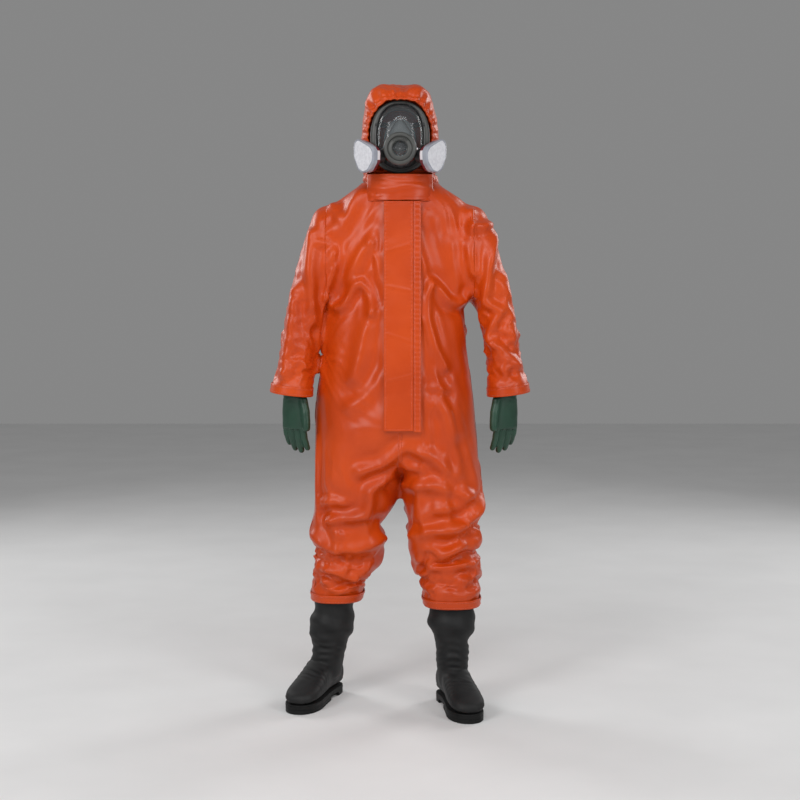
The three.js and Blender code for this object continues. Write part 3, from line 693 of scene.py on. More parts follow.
def trim(obj, point, normal, keep):
    with editing(obj) as bm:
        faces = [f for f in bm.faces if keep(f.calc_center_median())]
        verts = list({v for f in faces for v in f.verts})
        edges = list({e for f in faces for e in f.edges})
        bmesh.ops.bisect_plane(bm, geom=verts + edges + faces, plane_co=point, plane_no=normal,
                               clear_outer=True)


def open_ends(obj):
    trim(obj, Vector((0, 0, HEM * MM)), -Z, lambda c: c.z < 0.4)
    trim(obj, Vector((0, 0, NECK_CUT * MM)), Z, lambda c: c.z > 1.4 and abs(c.x) < 0.15)
    for side in (-1, 1):
        point, normal = cuff_plane(side)
        trim(obj, point, normal, lambda c: c.x * side > 0.241 and 0.84 < c.z < 1.0)


LEG_SPARE = 0.10  # the share of a leg's length that stacks up above the boot
ARM_SPARE = 0.05
SIM_FRAMES = 30


def hang(cloth, body):
    """Lets the cloth crumple: it starts with its legs and sleeves at their full length, and the hems move up."""
    worn = coords(cloth)
    x, y, z = worn.T
    side = np.sign(x)
    above_cuff = z - (0.893 + (np.abs(x) - 0.246) * 0.115)
    arm = arm_points(worn) & (np.abs(x) > 0.214)
    cut = worn.copy()
    cut[:, 2] -= np.clip(0.76 - z, 0, None) * LEG_SPARE
    cut[:, 2] -= arm * np.clip(1.32 - z, 0, None) * ARM_SPARE
    cut[:, 0] += side * arm * np.clip(1.32 - z, 0, None) * ARM_SPARE * 0.15
    held = (z < 0.306) | (z > 1.49) | (arm & (above_cuff < 0.036))
    held |= (np.abs(x - 0.002) < 0.049) & (y < SHIFT - 0.04) & (z > 0.80) & (z < 1.475)
    loose = 0.3 + 0.7 * np.maximum(smoothstep(0.84, 0.66, z), 0.7 * arm * smoothstep(0.90, 0.98, z))
    pin, spare = cloth.vertex_groups.new(name="held"), cloth.vertex_groups.new(name="loose")
    for i in range(len(worn)):
        spare.add([i], float(loose[i]), "REPLACE")
        if held[i]:
            pin.add([i], 1.0, "REPLACE")
    cloth.shape_key_add(name="cut")
    cloth.data.shape_keys.key_blocks["cut"].data.foreach_set("co", cut.ravel())
    key = cloth.shape_key_add(name="worn")
    key.data.foreach_set("co", worn.ravel())
    cloth.data.vertices.foreach_set("co", cut.ravel())
    for value, at in ((0, 1), (1, SIM_FRAMES * 0.6)):
        key.value = value
        key.keyframe_insert("value", frame=at)
    made = cloth.modifiers.new("cloth", "CLOTH")
    made.point_cache.frame_end = SIM_FRAMES
    made.collision_settings.distance_min = 0.003
    settings = made.settings
    settings.quality = 6
    settings.mass = 0.35
    settings.tension_stiffness = settings.compression_stiffness = 30
    settings.shear_stiffness = 15
    settings.bending_model = "ANGULAR"
    settings.bending_stiffness = 2.5
    settings.tension_damping = settings.compression_damping = settings.shear_damping = 10
    settings.bending_damping = 1
    settings.air_damping = 3
    settings.vertex_group_mass = "held"
    settings.vertex_group_shrink = "loose"
    settings.shrink_min = 0.0
    settings.shrink_max = -0.055
    settings.effector_weights.gravity = 0.45
    scene = bpy.context.scene
    scene.frame_start, scene.frame_end = 1, SIM_FRAMES
    for at in range(1, SIM_FRAMES + 1):
        scene.frame_set(at)
    bake(cloth)
    bpy.data.objects.remove(body)


def arm_points(co):
    """True for the sleeves' points and for all that is above the armpits, before the cloth moves."""
    x, z = co[:, 0], co[:, 2]
    gap = np.where(x < 0, 0.2400 - 0.080 * (z - 0.9), 0.2400 - 0.130 * (z - 0.9))
    return (z > 1.14) | ((z > 0.84) & (np.abs(x) > gap))


def mark_arms(shape):
    arm = arm_points(coords(shape))
    made = shape.data.attributes.new("arm", "FLOAT", "POINT")
    made.data.foreach_set("value", arm.astype(np.float32))


def split(obj, name, side):
    """A copy of obj with one sleeve's faces (side -1 or 1), or with the trunk's faces (side 0)."""
    part = obj.copy()
    part.data = obj.data.copy()
    part.name = name
    bpy.context.scene.collection.objects.link(part)
    with editing(part) as bm:
        mark = bm.verts.layers.float["arm"]
        gone = []
        for f in bm.faces:
            x = f.calc_center_median().x
            arm = abs(x) > ARM_PLANE * MM and sum(v[mark] for v in f.verts) > 0.5 * len(f.verts)
            if arm if side == 0 else not (arm and x * side > 0):
                gone.append(f)
        bmesh.ops.delete(bm, geom=gone, context="FACES")
        left = set(bm.faces)
        while left:
            island, edge = set(), [left.pop()]
            while edge:
                face = edge.pop()
                island.add(face)
                near = {f for e in face.edges for f in e.link_faces} & left
                left -= near
                edge += near
            if len(island) < 300:
                bmesh.ops.delete(bm, geom=list(island), context="FACES")
    return part


def cloth_finish(obj, thickness=1.3, levels=1):
    """Gives a sheet its thickness, with the lining's material inside."""
    obj.data.materials.clear()
    paint(obj, "orange", "lining")
    obj.data.polygons.foreach_set("use_smooth", [True] * len(obj.data.polygons))
    if levels:
        modify(obj, "SUBSURF", levels=levels, render_levels=levels)
    modify(obj, "SOLIDIFY", thickness=thickness * MM, offset=-1, material_offset=1, use_quality_normals=True)
    return obj


def in_slit(c):
    """Whether a place is in the front's slit behind the zip."""
    return abs(c.x) < SLIT * MM and c.y < SHIFT and FLAP_LOW + 22 < c.z / MM < FLAP_LOW + 610


def make_coverall():
    shape = sewn_shape(0.0115)
    body = wearer(shape)
    open_ends(shape)
    mark_arms(shape)
    hang(shape, body)
    raise_folds(shape)
    with editing(shape) as bm:
        for x in (-ARM_PLANE, -SLIT, SLIT, ARM_PLANE):
            bmesh.ops.bisect_plane(bm, geom=whole(bm), plane_co=X * (x * MM), plane_no=X)
        slit = [f for f in bm.faces if in_slit(f.calc_center_median())]
        bmesh.ops.delete(bm, geom=slit, context="FACES")

    trunk = split(shape, "coverall_body", 0)
    cloth_finish(trunk)
    place(trunk, "suit", "coated_fabric", None, "front_panel_left", "front_panel_right", "back_panel",
          "trouser_leg_left", "trouser_leg_right")
    for side, word in ((-1, "right"), (1, "left")):
        sleeve = split(shape, f"coverall_sleeve_{word}", side)
        cloth_finish(sleeve)
        sleeve.data.polygons.foreach_set("use_smooth", [True] * len(sleeve.data.polygons))
        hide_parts(f"sleeve_{word}")
        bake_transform(sleeve, "suit", f"arm_{word}", start=(side * 0.214, SHIFT, 1.40),
                 end=(side * 0.262, SHIFT, 1.25))
    bpy.data.objects.remove(shape)
    return trunk


coverall = make_coverall()


def strip(name, path, across, width, lift, rows=6):
    """A band of cloth along path: across gives its width's direction, lift raises its middle off the path."""
    rings = [[point + side * (width * (k / rows - 0.5)) + up * math.sin(math.pi * k / rows)
              for k in range(rows + 1)] for point, side, up in zip(path, across, lift)]
    return loft(name, rings, closed=False, caps=False)


def stitches(name, path, out, step=0.0044, long=0.0030, thick=0.00045):
    """Short thread stitches lying along a path, each a small six-sided capsule."""
    verts, faces = [], []
    length, marks = 0.0, [0.0]
    for a, b in zip(path, path[1:]):
        length += (b - a).length
        marks.append(length)
    for n in range(int(length / step)):
        at = (n + 0.5) * step
        i = max(k for k in range(len(marks) - 1) if marks[k] <= at)
        a, b = path[i], path[i + 1]
        t = (at - marks[i]) / max(1e-9, marks[i + 1] - marks[i])
        mid, way = a.lerp(b, t), (b - a).normalized()
        up = (out[i].lerp(out[i + 1], t)).normalized()
        side = way.cross(up).normalized()
        first = len(verts)
        for u, r in ((-0.5, 0.35), (-0.32, 1.0), (0.32, 1.0), (0.5, 0.35)):
            for k in range(5):
                c = 2 * math.pi * k / 5
                verts.append(mid + way * (u * long) + (side * math.cos(c) + up * math.sin(c)) * thick * r)
        for r in range(3):
            for k in range(5):
                m = (k + 1) % 5
                faces.append((first + r * 5 + k, first + r * 5 + m, first + r * 5 + 5 + m,
                              first + r * 5 + 5 + k))
        faces.append(tuple(first + k for k in range(4, -1, -1)))
        faces.append(tuple(first + 15 + k for k in range(5)))
    return mesh_object(name, verts, faces)


def surface_of(obj):
    """A tree for finding the nearest place on a piece."""
    bm = bmesh.new()
    bm.from_mesh(obj.data)
    tree = BVHTree.FromBMesh(bm)
    bm.free()
    return tree


def laid_on(tree, points, lift):
    """Moves points onto a surface seen along their own direction, and gives the surface's normals."""
    path, out = [], []
    for start, way in points:
        hit, normal = tree.ray_cast(start, way)[:2]
        if hit is None:
            continue
        if normal.dot(way) > 0:
            normal = -normal
        path.append(hit + normal * lift)
        out.append(normal)
    return path, out


def make_seams():
    """Lap seams with a raised edge and a row of stitches: side seams, the crotch, armholes and the back yoke."""
    tree = surface_of(coverall)
    lines = []
    for side in (-1, 1):
        inward = Vector((-side, 0, 0))
        lines.append([(Vector((side * 0.6, SHIFT + 0.004, z * MM)), inward) for z in range(330, 1100, 6)])
        turn = []
        for k in range(0, 100):
            a = 2 * math.pi * k / 99
            turn.append((Vector((side * 0.2085, SHIFT + 0.004, 1.31)), Vector((0, math.cos(a), math.sin(a)))))
        lines.append(turn)
    lines.append([(Vector((x * MM, 0.9, 1.345)), -Y) for x in range(-196, 198, 6)])
    lines.append([(Vector((0, 0.9, z * MM)), -Y) for z in range(1340, 705, -6)])
    lines.append([(Vector((0, -0.9, z * MM)), Y) for z in range(796, 712, -4)])
    made = []
    for line in lines:
        path, out = laid_on(tree, line, 0.0004)
        runs, run = [], [0]
        for i in range(1, len(path)):
            if (path[i] - path[i - 1]).length > 0.03:
                runs.append(run)
                run = []
            run.append(i)
        runs.append(run)
        for run in runs:
            if len(run) < 5:
                continue
            p, o = [path[i] for i in run], [out[i] for i in run]
            for _ in range(2):
                p = [p[0]] + [(a + b * 2 + c) / 4 for a, b, c in zip(p, p[1:], p[2:])] + [p[-1]]
            across = [way_at(p, i).cross(o[i]).normalized() for i in range(len(p))]
            raised = [q + v * 0.0003 for q, v in zip(p, o)]
            band = strip("seam", raised, across, 0.011, [v * 0.0011 for v in o])
            paint(band, "orange")
            made.append(band)
            for shift in (-0.0034, 0.0034):
                thread = stitches("thread", [q + s * shift + v * 0.0009 for q, s, v in zip(p, across, o)], o)
                paint(thread, "thread")
                made.append(thread)
    seams = joined("coverall_seams", made)
    return place(seams, "suit", "coated_fabric", None)


make_seams()


# ---------- hood ----------
HOOD = [  # level, half width, front, back
    (1534, 105, -98, 112), (1580, 109, -100, 120), (1640, 111, -103, 125), (1700, 111, -105, 124),
    (1745, 103, -99, 115), (1775, 85, -80, 96), (1792, 58, -52, 68), (1800, 24, -18, 30),
]
RIM = (93, 110, 1642)  # half width and half height of the face opening, and its middle's level


def head_sizes(z):
    levels = [h[0] for h in HOOD]
    return [float(np.interp(z, levels, [h[k] for h in HOOD])) for k in (1, 2, 3)]


def on_head(direction):
    """Where a ray from the head's middle meets the hood's smooth surface, in millimetres."""
    low, high = 10.0, 400.0
    for _ in range(34):
        far = (low + high) / 2
        x, y, z = direction.x * far, 12 + direction.y * far, 1650 + direction.z * far
        if z > 1800:
            high = far
            continue
        half, front, back = head_sizes(max(z, 1480))
        mid, deep = (front + back) / 2, (back - front) / 2
        if abs(x / half) ** 2.3 + abs((y - mid) / deep) ** 2.3 > 1:
            high = far
        else:
            low = far
    return Vector((direction.x * low, 12 + direction.y * low, 1650 + direction.z * low))


def rim_point(angle):
    u, v = superellipse(angle, RIM[0] + 1, RIM[1] + 1, 2.3)
    if math.sin(angle) < 0:
        u = math.copysign(RIM[0] + 1, u) if abs(v) > 1 else u
        v = math.sin(angle) * 135
        u = math.copysign(RIM[0] + 1, math.cos(angle)) if v > -118 else u
    return Vector((u, 0, RIM[2] + v))


def make_hood():
    columns, rows = 240, 84
    rings = []
    start = []
    for c in range(columns):
        a = math.radians(-90) + 2 * math.pi * c / columns
        rim = rim_point(a)
        half, front, back = head_sizes(min(max(rim.z, 1534), 1790))
        mid, deep = (front + back) / 2, (back - front) / 2
        share = min(1.0, abs(rim.x / half) ** 2.3)
        y = mid - deep * (1 - share) ** (1 / 2.3)
        start.append((Vector((rim.x, max(y, -94), rim.z)) - Vector((0, 12, 1650))).normalized())
    pole = Vector((0, 1, 0.06)).normalized()
    for r in range(rows):
        t = r / (rows - 1)
        t = t ** 1.25 * 0.985
        ring_now = []
        for c in range(columns):
            turn = start[c].angle(pole)
            axis = start[c].cross(pole).normalized()
            way = Matrix.Rotation(turn * t, 3, axis) @ start[c]
            ring_now.append(on_head(way) * MM)
        rings.append(ring_now)
    hood = loft("hood_cloth", rings, closed=True, caps=False)
    if (hood.data.polygons[0].normal.dot(hood.data.polygons[0].center - Vector((0, 0.012, 1.65)))) < 0:
        hood.data.flip_normals()
    co, no = coords(hood), normals(hood)
    co = co.reshape(rows, columns, 3)
    no = no.reshape(rows, columns, 3)
    far = np.zeros((rows, columns))
    far[1:] = np.cumsum(np.linalg.norm(np.diff(co, axis=0), axis=2), axis=0)
    around = np.zeros(columns)
    around[1:] = np.cumsum(np.linalg.norm(np.diff(co[0], axis=0), axis=1))
    lift = np.zeros((rows, columns))
    for c in range(columns):
        s = around[c]
        wob = noise.noise(Vector((s * 14, 3.1, 0)))
        crest = math.sin(s * 2 * math.pi / 0.0215 + 3.4 * wob)
        weight = 0.55 + 0.45 * noise.noise(Vector((s * 22, 8.7, 0)))
        for r in range(rows):
            d = far[r, c]
            p = co[r, c]
            gather = 0.0052 * crest * weight * peak(d, 0.020, 0.026)
            groove = -0.0022 * peak(d, 0.012, 0.0022)
            casing = 0.0012 * math.sin(math.pi * min(d / 0.012,
                                                     1.0)) + 0.0005 * math.sin(s * 2 * math.pi / 0.0072) * \
                peak(d, 0.006, 0.006)
            soft = 0.0075 * noise.noise(Vector(p) * 13 + Vector((4, 0, 0))) + \
                0.0022 * noise.noise(Vector(p) * 34)
            lift[r, c] = gather + groove + casing + soft * smoothstep(0.012, 0.05, d)
    x, y, z = co[..., 0], co[..., 1], co[..., 2]
    hump = 0.010 * peak(np.abs(x + 0.004), 0.052, 0.026) * peak(z, 1.772, 0.03) * \
        smoothstep(0.10, -0.06, y)
    dip = -0.009 * peak(x, 0.006, 0.017) * smoothstep(1.74, 1.79, z) * smoothstep(0.08, -0.05, y)
    seam = 0.0012 * peak(x, 0, 0.004) * (smoothstep(1.70, 1.78, z) + smoothstep(0.06, 0.11, y))
    nape = 0.005 * np.sin((z - 1.53) / 0.032 * 2 * math.pi + 3.2 * np.sin(x * 18)) * smoothstep(1.66, 1.56,
                                                                                                z) * \
        smoothstep(0.0, 0.06, y)
    sag = 0.004 * peak(z, 1.585, 0.016) * smoothstep(-0.03, -0.08, y)
    co = co + no * (lift + hump + dip + seam + nape + sag)[..., None]
    droop = np.array([0.0022 + 0.0028 * noise.noise(Vector((float(a) * 30, 1.7, 4))) for a in around])
    co[..., 2] -= droop * peak(far, 0, 0.022) * smoothstep(1.66, 1.72, co[..., 2])
    co[..., 1] += SHIFT
    set_coords(hood, co.reshape(-1, 3))
    with editing(hood) as bm:
        bmesh.ops.bisect_plane(bm, geom=whole(bm), plane_co=Z * 1.5355, plane_no=Z, clear_inner=True)
    rim = [Vector(p) for p in co[0] if p[2] > 1.537]
    cloth_finish(hood, 1.4, 0)
    hood.data.materials[1] = MATERIAL["orange"]
    elastic = []
    for i, p in enumerate(rim):
        inward = Vector((-p.x, 0, 1.642 - p.z)).normalized()
        fat = 0.0030 + 0.0005 * math.sin(i * 1.9) + 0.0004 * noise.noise(p * 60)
        deep = way_at(rim, i).cross(inward).normalized()
        centre = p + inward * 0.0006 - Y * 0.0004
        elastic.append([centre + (inward * math.cos(k * math.pi / 5) + deep * math.sin(k * math.pi / 5)) * fat
                        for k in range(10)])
    lip = loft("hood_rim", elastic)
    paint(lip, "orange")
    place(hood, "hood", "coated_fabric", None, "hood", "hood_elastic")
    place(lip, "hood", "coated_fabric", "orange")
    return hood


make_hood()


# ---------- collar ----------
def make_collar():
    """A standing collar in soft folds that spreads onto the shoulders, open at the front where the zip ends."""
    sections = [  # level, half width, front, back
        (1458, 150, -104, 104), (1468, 136, -106, 103), (1480, 122, -107, 102), (1495, 111, -106, 103),
        (1512, 107, -103, 107), (1524, 107, -101, 110), (1532, 106, -98, 112), (1535.5, 103.5, -96, 110),
    ]
    columns = 220
    rings = []
    for z, half, front, back in sections:
        row = []
        for c in range(columns + 1):
            gap = 0.075
            a = -math.pi / 2 + gap + (2 * math.pi - 2 * gap) * c / columns
            u, v = superellipse(a, half, (back - front) / 2, 2.4)
            row.append(Vector((u, (front + back) / 2 + v, z)) * MM + Vector((0, SHIFT, 0)))
        rings.append(row)
    rings = spline(rings, 4)
    collar = loft("collar_cloth", rings, closed=False, caps=False)
    co = coords(collar)
    centre = np.array([0, SHIFT + 0.003, 0])
    out = co - centre
    out[:, 2] = 0
    out /= np.linalg.norm(out, axis=1)[:, None]
    lift = np.empty(len(co))
    for i, p in enumerate(co):
        v = Vector(p)
        a = math.atan2(p[1] - SHIFT, p[0])
        roll = math.sin((p[2] - 1.47) / 0.021 * math.pi + 1.4 * math.sin(a * 3 + 0.7))
        pucker = math.sin(a * 34 + 3 * noise.noise(v * 18))
        top = float(smoothstep(1.512, 1.532, p[2]))
        lift[i] = 0.0032 * roll * (1 - top) + 0.0012 * pucker * (0.3 + 0.7 * top) + 0.004 * noise.noise(v
                                                                                                        * 24)
    set_coords(collar, co + out * lift[:, None])
    no = normals(collar)
    if (no * out).sum() < 0:
        collar.data.flip_normals()
    cloth_finish(collar, 1.4, 1)
    place(collar, "suit", "coated_fabric", None, "collar")
    return collar


collar = make_collar()


def make_chin_flap():
    columns, rows = 90, 22
    rings = []
    for r in range(rows + 1):
        z = 1462 + (1535 - 1462) * r / rows
        half, front, back = [float(np.interp(z, (1462, 1495, 1532), v)) for v in
                             ((110, 111, 110), (-112, -111, -104), (100, 106, 116))]
        row = []
        for c in range(columns + 1):
            x = -94 + 188 * c / columns
            share = min(1.0, abs(x / half) ** 2.4)
            y = (front + back) / 2 - (back - front) / 2 * (1 - share) ** (1 / 2.4)
            low = max(0.0, 1 - (z - 1462) / 14) * max(0.0, (abs(x) - 80) / 14)
            z_here = z + 7 * low - 2.5 * math.cos(x / 94 * math.pi / 2) * (1 - r / rows) + \
                1.2 * noise.noise(Vector((x * 0.03, z * 0.02, 1)))
            row.append(Vector((x, y - 1.2, z_here)) * MM + Vector((0, SHIFT, 0)))
        rings.append(row)
    flap = loft("chin_flap_cloth", rings, closed=False, caps=False)
    co = coords(flap)
    lift = np.zeros(len(co))
    for i, p in enumerate(co):
        v = Vector(p)
        edge = min(abs(abs(p[0]) - 0.094), abs(p[2] - 1.462), abs(p[2] - 1.535))
        sag = peak(p[2], 1.498 + 0.006 * math.sin(p[0] * 40), 0.010)
        fold = peak(p[2], 1.515 - 0.10 * p[0], 0.005)
        hem = peak(edge, 0.006, 0.0012)
        lift[i] = 0.0036 * sag - 0.0014 * fold + 0.0020 * noise.noise(v * 30) - 0.0009 * hem
    co[:, 1] -= lift
    set_coords(flap, co)
    if normals(flap)[:, 1].mean() > 0:
        flap.data.flip_normals()
    cloth_finish(flap, 1.5, 1)
    place(flap, "chin", "coated_fabric", None, "chin_flap")
    return flap


make_chin_flap()


# ---------- front closure ----------
LEAN = math.atan(FRONT_SLOPE)


def front_place(x, y, z):
    """A point of the closure's own frame, in millimetres, in the row frame."""
    c, s = math.cos(LEAN), math.sin(LEAN)
    return Vector((x, FRONT_LOW + y * c + z * s, FLAP_LOW - y * s + z * c)) * MM + Vector((0, SHIFT, 0))


def front_strip(name, x0, x1, z0, z1, depth, columns, rows, material, thickness):
    """A strip of the closure; depth(x, z) gives how far forward it lies."""
    rings = []
    for r in range(rows + 1):
        z = z0 + (z1 - z0) * r / rows
        rings.append([front_place(x0 + (x1 - x0) * c / columns, depth(x0 + (x1 - x0) * c / columns, z), z)
                      for c in range(columns + 1)])
    made = loft(name, rings, closed=False, caps=False)
    if made.data.polygons[0].normal.y > 0:
        made.data.flip_normals()
    made.data.materials.append(MATERIAL[material])
    paint(made, "lining")
    modify(made, "SOLIDIFY", thickness=thickness * MM, offset=-1,
           material_offset=1 if material == "orange" else 0)
    return made


def make_closure():
    def flap_depth(x, z):
        loose = smoothstep(10, -46, x)
        wave = noise.noise(Vector((0.4, z * 0.011, 2))) * 2.6 + noise.noise(Vector((x * 0.04, z * 0.034,
                                                                                    7))) * 1.6
        edge = min(x + 46, 37 - x, z + 2, 652 - z)
        groove = 0.35 * peak(edge, 5, 1.1) - 0.35 * peak(edge, 2.4, 1.8)
        pucker = 0.28 * math.sin(z * 0.55 + 2 * noise.noise(Vector((z * 0.02, 5, 5)))) * peak(edge, 5, 5)
        slack = float(smoothstep(0, 12, edge))
        buckle = 1.5 * noise.noise(Vector((x * 0.016 + z * 0.010, z * 0.022, 11))) * slack
        lines = ((1.3, 402 - 0.20 * x, 5), (1.1, 148 + 0.25 * x, 4.5), (1.0, 262 - 0.32 * x, 4),
                 (0.9, 520 + 0.3 * x, 5))
        crease = -sum(deep * peak(z, at, half) for deep, at, half in lines)
        return -7.4 - float(loose) * (0.9 + 0.6 * wave) + groove + pucker + buckle + crease * slack

    flap = front_strip("storm_flap_cloth", -46, 37.9, -2, 652, flap_depth, 42, 250, "orange", 1.5)
    place(flap, "flap", "coated_fabric", None, "storm_flap")
    rows = []
    for x, z0, z1 in ((-41, 3, 647), (32, 3, 647)):
        path = [front_place(x, flap_depth(x, z) - 0.3, z) for z in np.linspace(z0, z1, 120)]
        rows.append(stitches("thread", path, [Vector((0, -1, 0.07))] * len(path)))
    for z in (3, 647):
        path = [front_place(x, flap_depth(x, z) - 0.3, z) for x in np.linspace(-41, 32, 20)]
        rows.append(stitches("thread", path, [Vector((0, -1, 0.07))] * len(path)))
    thread = joined("storm_flap_stitches", rows)
    paint(thread, "thread")
    place(thread, "flap", "coated_fabric", None)

    def base_depth(x, z):
        edge = min(x - 38.6, 60 - x)
        pucker = 0.5 * math.sin(z * 0.42 + 3 * noise.noise(Vector((z * 0.015, 1, 9))))
        roll = 1.4 * (1 - smoothstep(0, 5, 60 - x)) - 1.6 * (1 - smoothstep(0, 6, x - 38.2))
        return -4.4 + roll + pucker * float(smoothstep(0, 6,
                                                       edge)) + noise.noise(Vector((x * 0.05, z * 0.02, 3)))

    base = front_strip("flap_base_cloth", 38.2, 60, -5, 652, base_depth, 18, 260, "orange", 2.2)
    place(base, "suit", "coated_fabric", None, "flap_base_strip")
    rows = []
    for x in (43, 55):
        path = [front_place(x, base_depth(x, z) - 0.3, z) for z in np.linspace(-1, 648, 130)]
        rows.append(stitches("thread", path, [Vector((0, -1, 0.07))] * len(path)))
    thread = joined("flap_base_stitches", rows)
    paint(thread, "thread")
    place(thread, "suit", "coated_fabric", None)

    for name, y, body in (("flap_hook_strip", -4.75, "flap"), ("flap_loop_strip", -2.6, "suit")):
        strip_made = front_strip(name + "_cloth", -43, -25, 10, 630,
                                 lambda x, z: y + 0.12 * noise.noise(Vector((x * 0.8, z * 0.8, y))), 14, 240,
                                 "webbing", 1.1)
        place(strip_made, body, "webbing", None, name)


def make_zip():
    for side in (-1, 1):
        teeth = []
        for n in range(200):
            z = 15 + 3 * n + (1.5 if side > 0 else 0)
            x0, x1 = sorted((side * -0.9, side * 4.4))
            teeth.append(block("tooth", [front_place(x, y, up) for up in (z, z + 1.25) for x, y in
                                         ((x0, 1.2), (x1, 1.2), (x1, 5.2), (x0, 5.2))]))
        teeth = paint(bevelled(joined("teeth", teeth), 0.00035, 2), "dark")
        tape = front_strip("tape", side * 3.6 if side > 0 else -18, 18 if side > 0 else -3.6, 14, 618,
                           lambda x, z: 5.6 + 0.1 * noise.noise(Vector((x, z, 0))), 10, 150, "webbing", 0.9)
        word = "left" if side > 0 else "right"
        chain = joined(f"zip_chain_{word}_teeth", [teeth, tape])
        place(chain, "suit", "dark_plastic", None, f"zip_chain_{word}", flat_shade=True)


def refined(node, body, slot, material, width=0.0006, segments=3, angle=30):
    """A CAD node's own shape with its edges rounded."""
    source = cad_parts[node]
    made = mesh_object(node + "_part", [v.co for v in source.data.vertices],
                       [tuple(p.vertices) for p in source.data.polygons])
    with editing(made) as bm:
        bmesh.ops.remove_doubles(bm, verts=bm.verts, dist=1e-5)
        bmesh.ops.dissolve_limit(bm, angle_limit=math.radians(4), verts=bm.verts, edges=bm.edges)
    bevelled(made, width, segments, angle)
    modify(made, "WEIGHTED_NORMAL", keep_sharp=True)
    return place(made, body, slot, material, node)


make_closure()
make_zip()
refined("zip_slider", "slider", "metal", "metal")
refined("zip_bottom_stop", "suit", "dark_plastic", "metal", 0.0004)


# ---------- inner cuffs and gloves ----------
PALM = [(984, 38, 35, 0), (912, 34, 26, 0), (850, 42, 20, 2), (800, 42, 16, 2)]
FINGERS = [(30, 84, 10.5), (10, 94, 11), (-11, 88, 10.5), (-30, 70, 9.5)]
THUMB = [Vector(p) for p in ((30, -4, 892), (46, -10, 850), (50, -12, 812), (49, -11, 794))]


def digit(path, radii, sides=20):
    rings = []
    for i, p in enumerate(path):
        way = way_at(path, i)
        across = (X - way * way.x).normalized()
        rings.append(ring(p * MM, across, way.cross(across), radii[i] * MM, radii[i] * MM, 2, sides))
    return loft("digit", rings)


def make_glove(side):
    rings = [ring(Vector((off, 0, z)) * MM, X, Y, half * MM, deep * MM, 2.2, 48) for z, half, deep,
             off in PALM]
    parts = [loft("palm", spline(rings, 8))]
    knuckles = []
    for across, long, radius in FINGERS:
        path, radii = [], []
        for k in range(25):
            t = k / 24
            path.append(Vector((across + across / 30 * 2 * t, 26 * t * t, 812 - long * t * (1 - 0.1 * t))))
            end = max(0.0, (t - 0.9) / 0.1)
            joint = 0.5 * peak(t, 0.42, 0.06) + 0.4 * peak(t, 0.7, 0.05)
            radii.append((radius - 2.6 * t ** 1.5 + joint) * math.sqrt(max(0.03, 1 - end * end)))
        knuckles += [path[10], path[17]]
        parts.append(digit(path, radii))
    fine = [a.lerp(b, k / 8) for a, b in zip(THUMB, THUMB[1:]) for k in range(8)] + [THUMB[-1]]
    radii = []
    for k in range(len(fine)):
        t = k / (len(fine) - 1)
        end = max(0.0, (t - 0.84) / 0.16)
        radii.append((14.2 - 2.6 * t) * math.sqrt(max(0.03, 1 - end * end)))
    knuckles.append(THUMB[1])
    parts.append(digit(fine, radii))
    glove = remeshed(joined("glove", parts), 0.0021, 6)
    co, no = coords(glove), normals(glove)
    lift = np.empty(len(co))
    for i, p in enumerate(co):
        v = Vector(p)
        x, y, z = v / MM
        a = math.atan2(y, x)
        cuff = float(smoothstep(868, 905, z))
        gauntlet = math.sin(z / 7.5 * math.pi + 1.6 * math.sin(2 * a + 0.8) + 2.5 * noise.noise(v * 22))
        lift[i] = cuff * 0.0008 * gauntlet * float(smoothstep(986, 950, z)) + 0.0009 * noise.noise(v * 45)
        for k in knuckles:
            d = (v - k * MM).length
            if d < 0.018:
                along = (z - k.z) / 3.1
                lift[i] += 0.00045 * math.cos(along * 2 * math.pi) * (1 - d / 0.018)
        web = float(smoothstep(-8, 14, y)) * float(smoothstep(880, 850, z)) * float(smoothstep(795, 815, z))
        lift[i] -= 0.0011 * web * peak(x, (z - 840) * 0.35 - 6, 3.2)
    set_coords(glove, co + no * lift[:, None])
    trim(glove, Vector((0, 0, 0.983)), Z, lambda c: True)
    modify(glove, "SOLIDIFY", thickness=0.0014, offset=-1)
    rim = ring(Vector(), X, Y, 37.4, 34.4, 2.2, 72)
    edge = bead("edge", [p + Z * 982 for p in rim], [p.normalized() for p in rim], 1.5, 1.5, 10)
    glove = joined(f"glove_rubber_{side}", [glove, edge])
    matrix = Matrix.Translation(Vector((-WRIST[0] * MM, WRIST[1] * MM + SHIFT,
                                        0))) @ Matrix.Rotation(-HAND_TURN, 4, "Z")
    if side == "left":
        matrix = Matrix.Scale(-1, 4, X) @ matrix
    glove.data.transform(matrix)
    if side == "left":
        glove.data.flip_normals()
    place(glove, f"hand_{side}", "glove_rubber", "glove", f"glove_{side}")


def make_inner_cuff(side):
    sign = 1 if side == "left" else -1
    levels = [(1004, 301, -28, 36, 40), (996, 303, -29, 34, 36), (986, 306, -32, 28, 26),
              (964, 306, -32, 27, 25),
              (940, 306, -32, 26, 24)]
    rings = [ring(Vector((sign * x, y, z)) * MM + Vector((0, SHIFT, 0)), X, Y, half * MM, deep * MM, 2, 96)
             for z, x, y, half, deep in levels]
    cuff = loft("cuff", spline(rings, 8), caps=False)
    co, no = coords(cuff), normals(cuff)
    angle = np.arctan2(co[:, 1] - SHIFT + 0.032, co[:, 0] - sign * 0.306)
    co += no * (0.0010 * np.sin(angle * 26 + co[:, 2] * 60) * smoothstep(0.99, 0.975, co[:, 2]))[:, None]
    set_coords(cuff, co)
    modify(cuff, "SOLIDIFY", thickness=0.0014, offset=-1)
    cuff.name = f"inner_cuff_cloth_{side}"
    place(cuff, f"arm_{side}", "lining", "lining", f"inner_cuff_{side}")


for word in ("left", "right"):
    make_glove(word)
    make_inner_cuff(word)


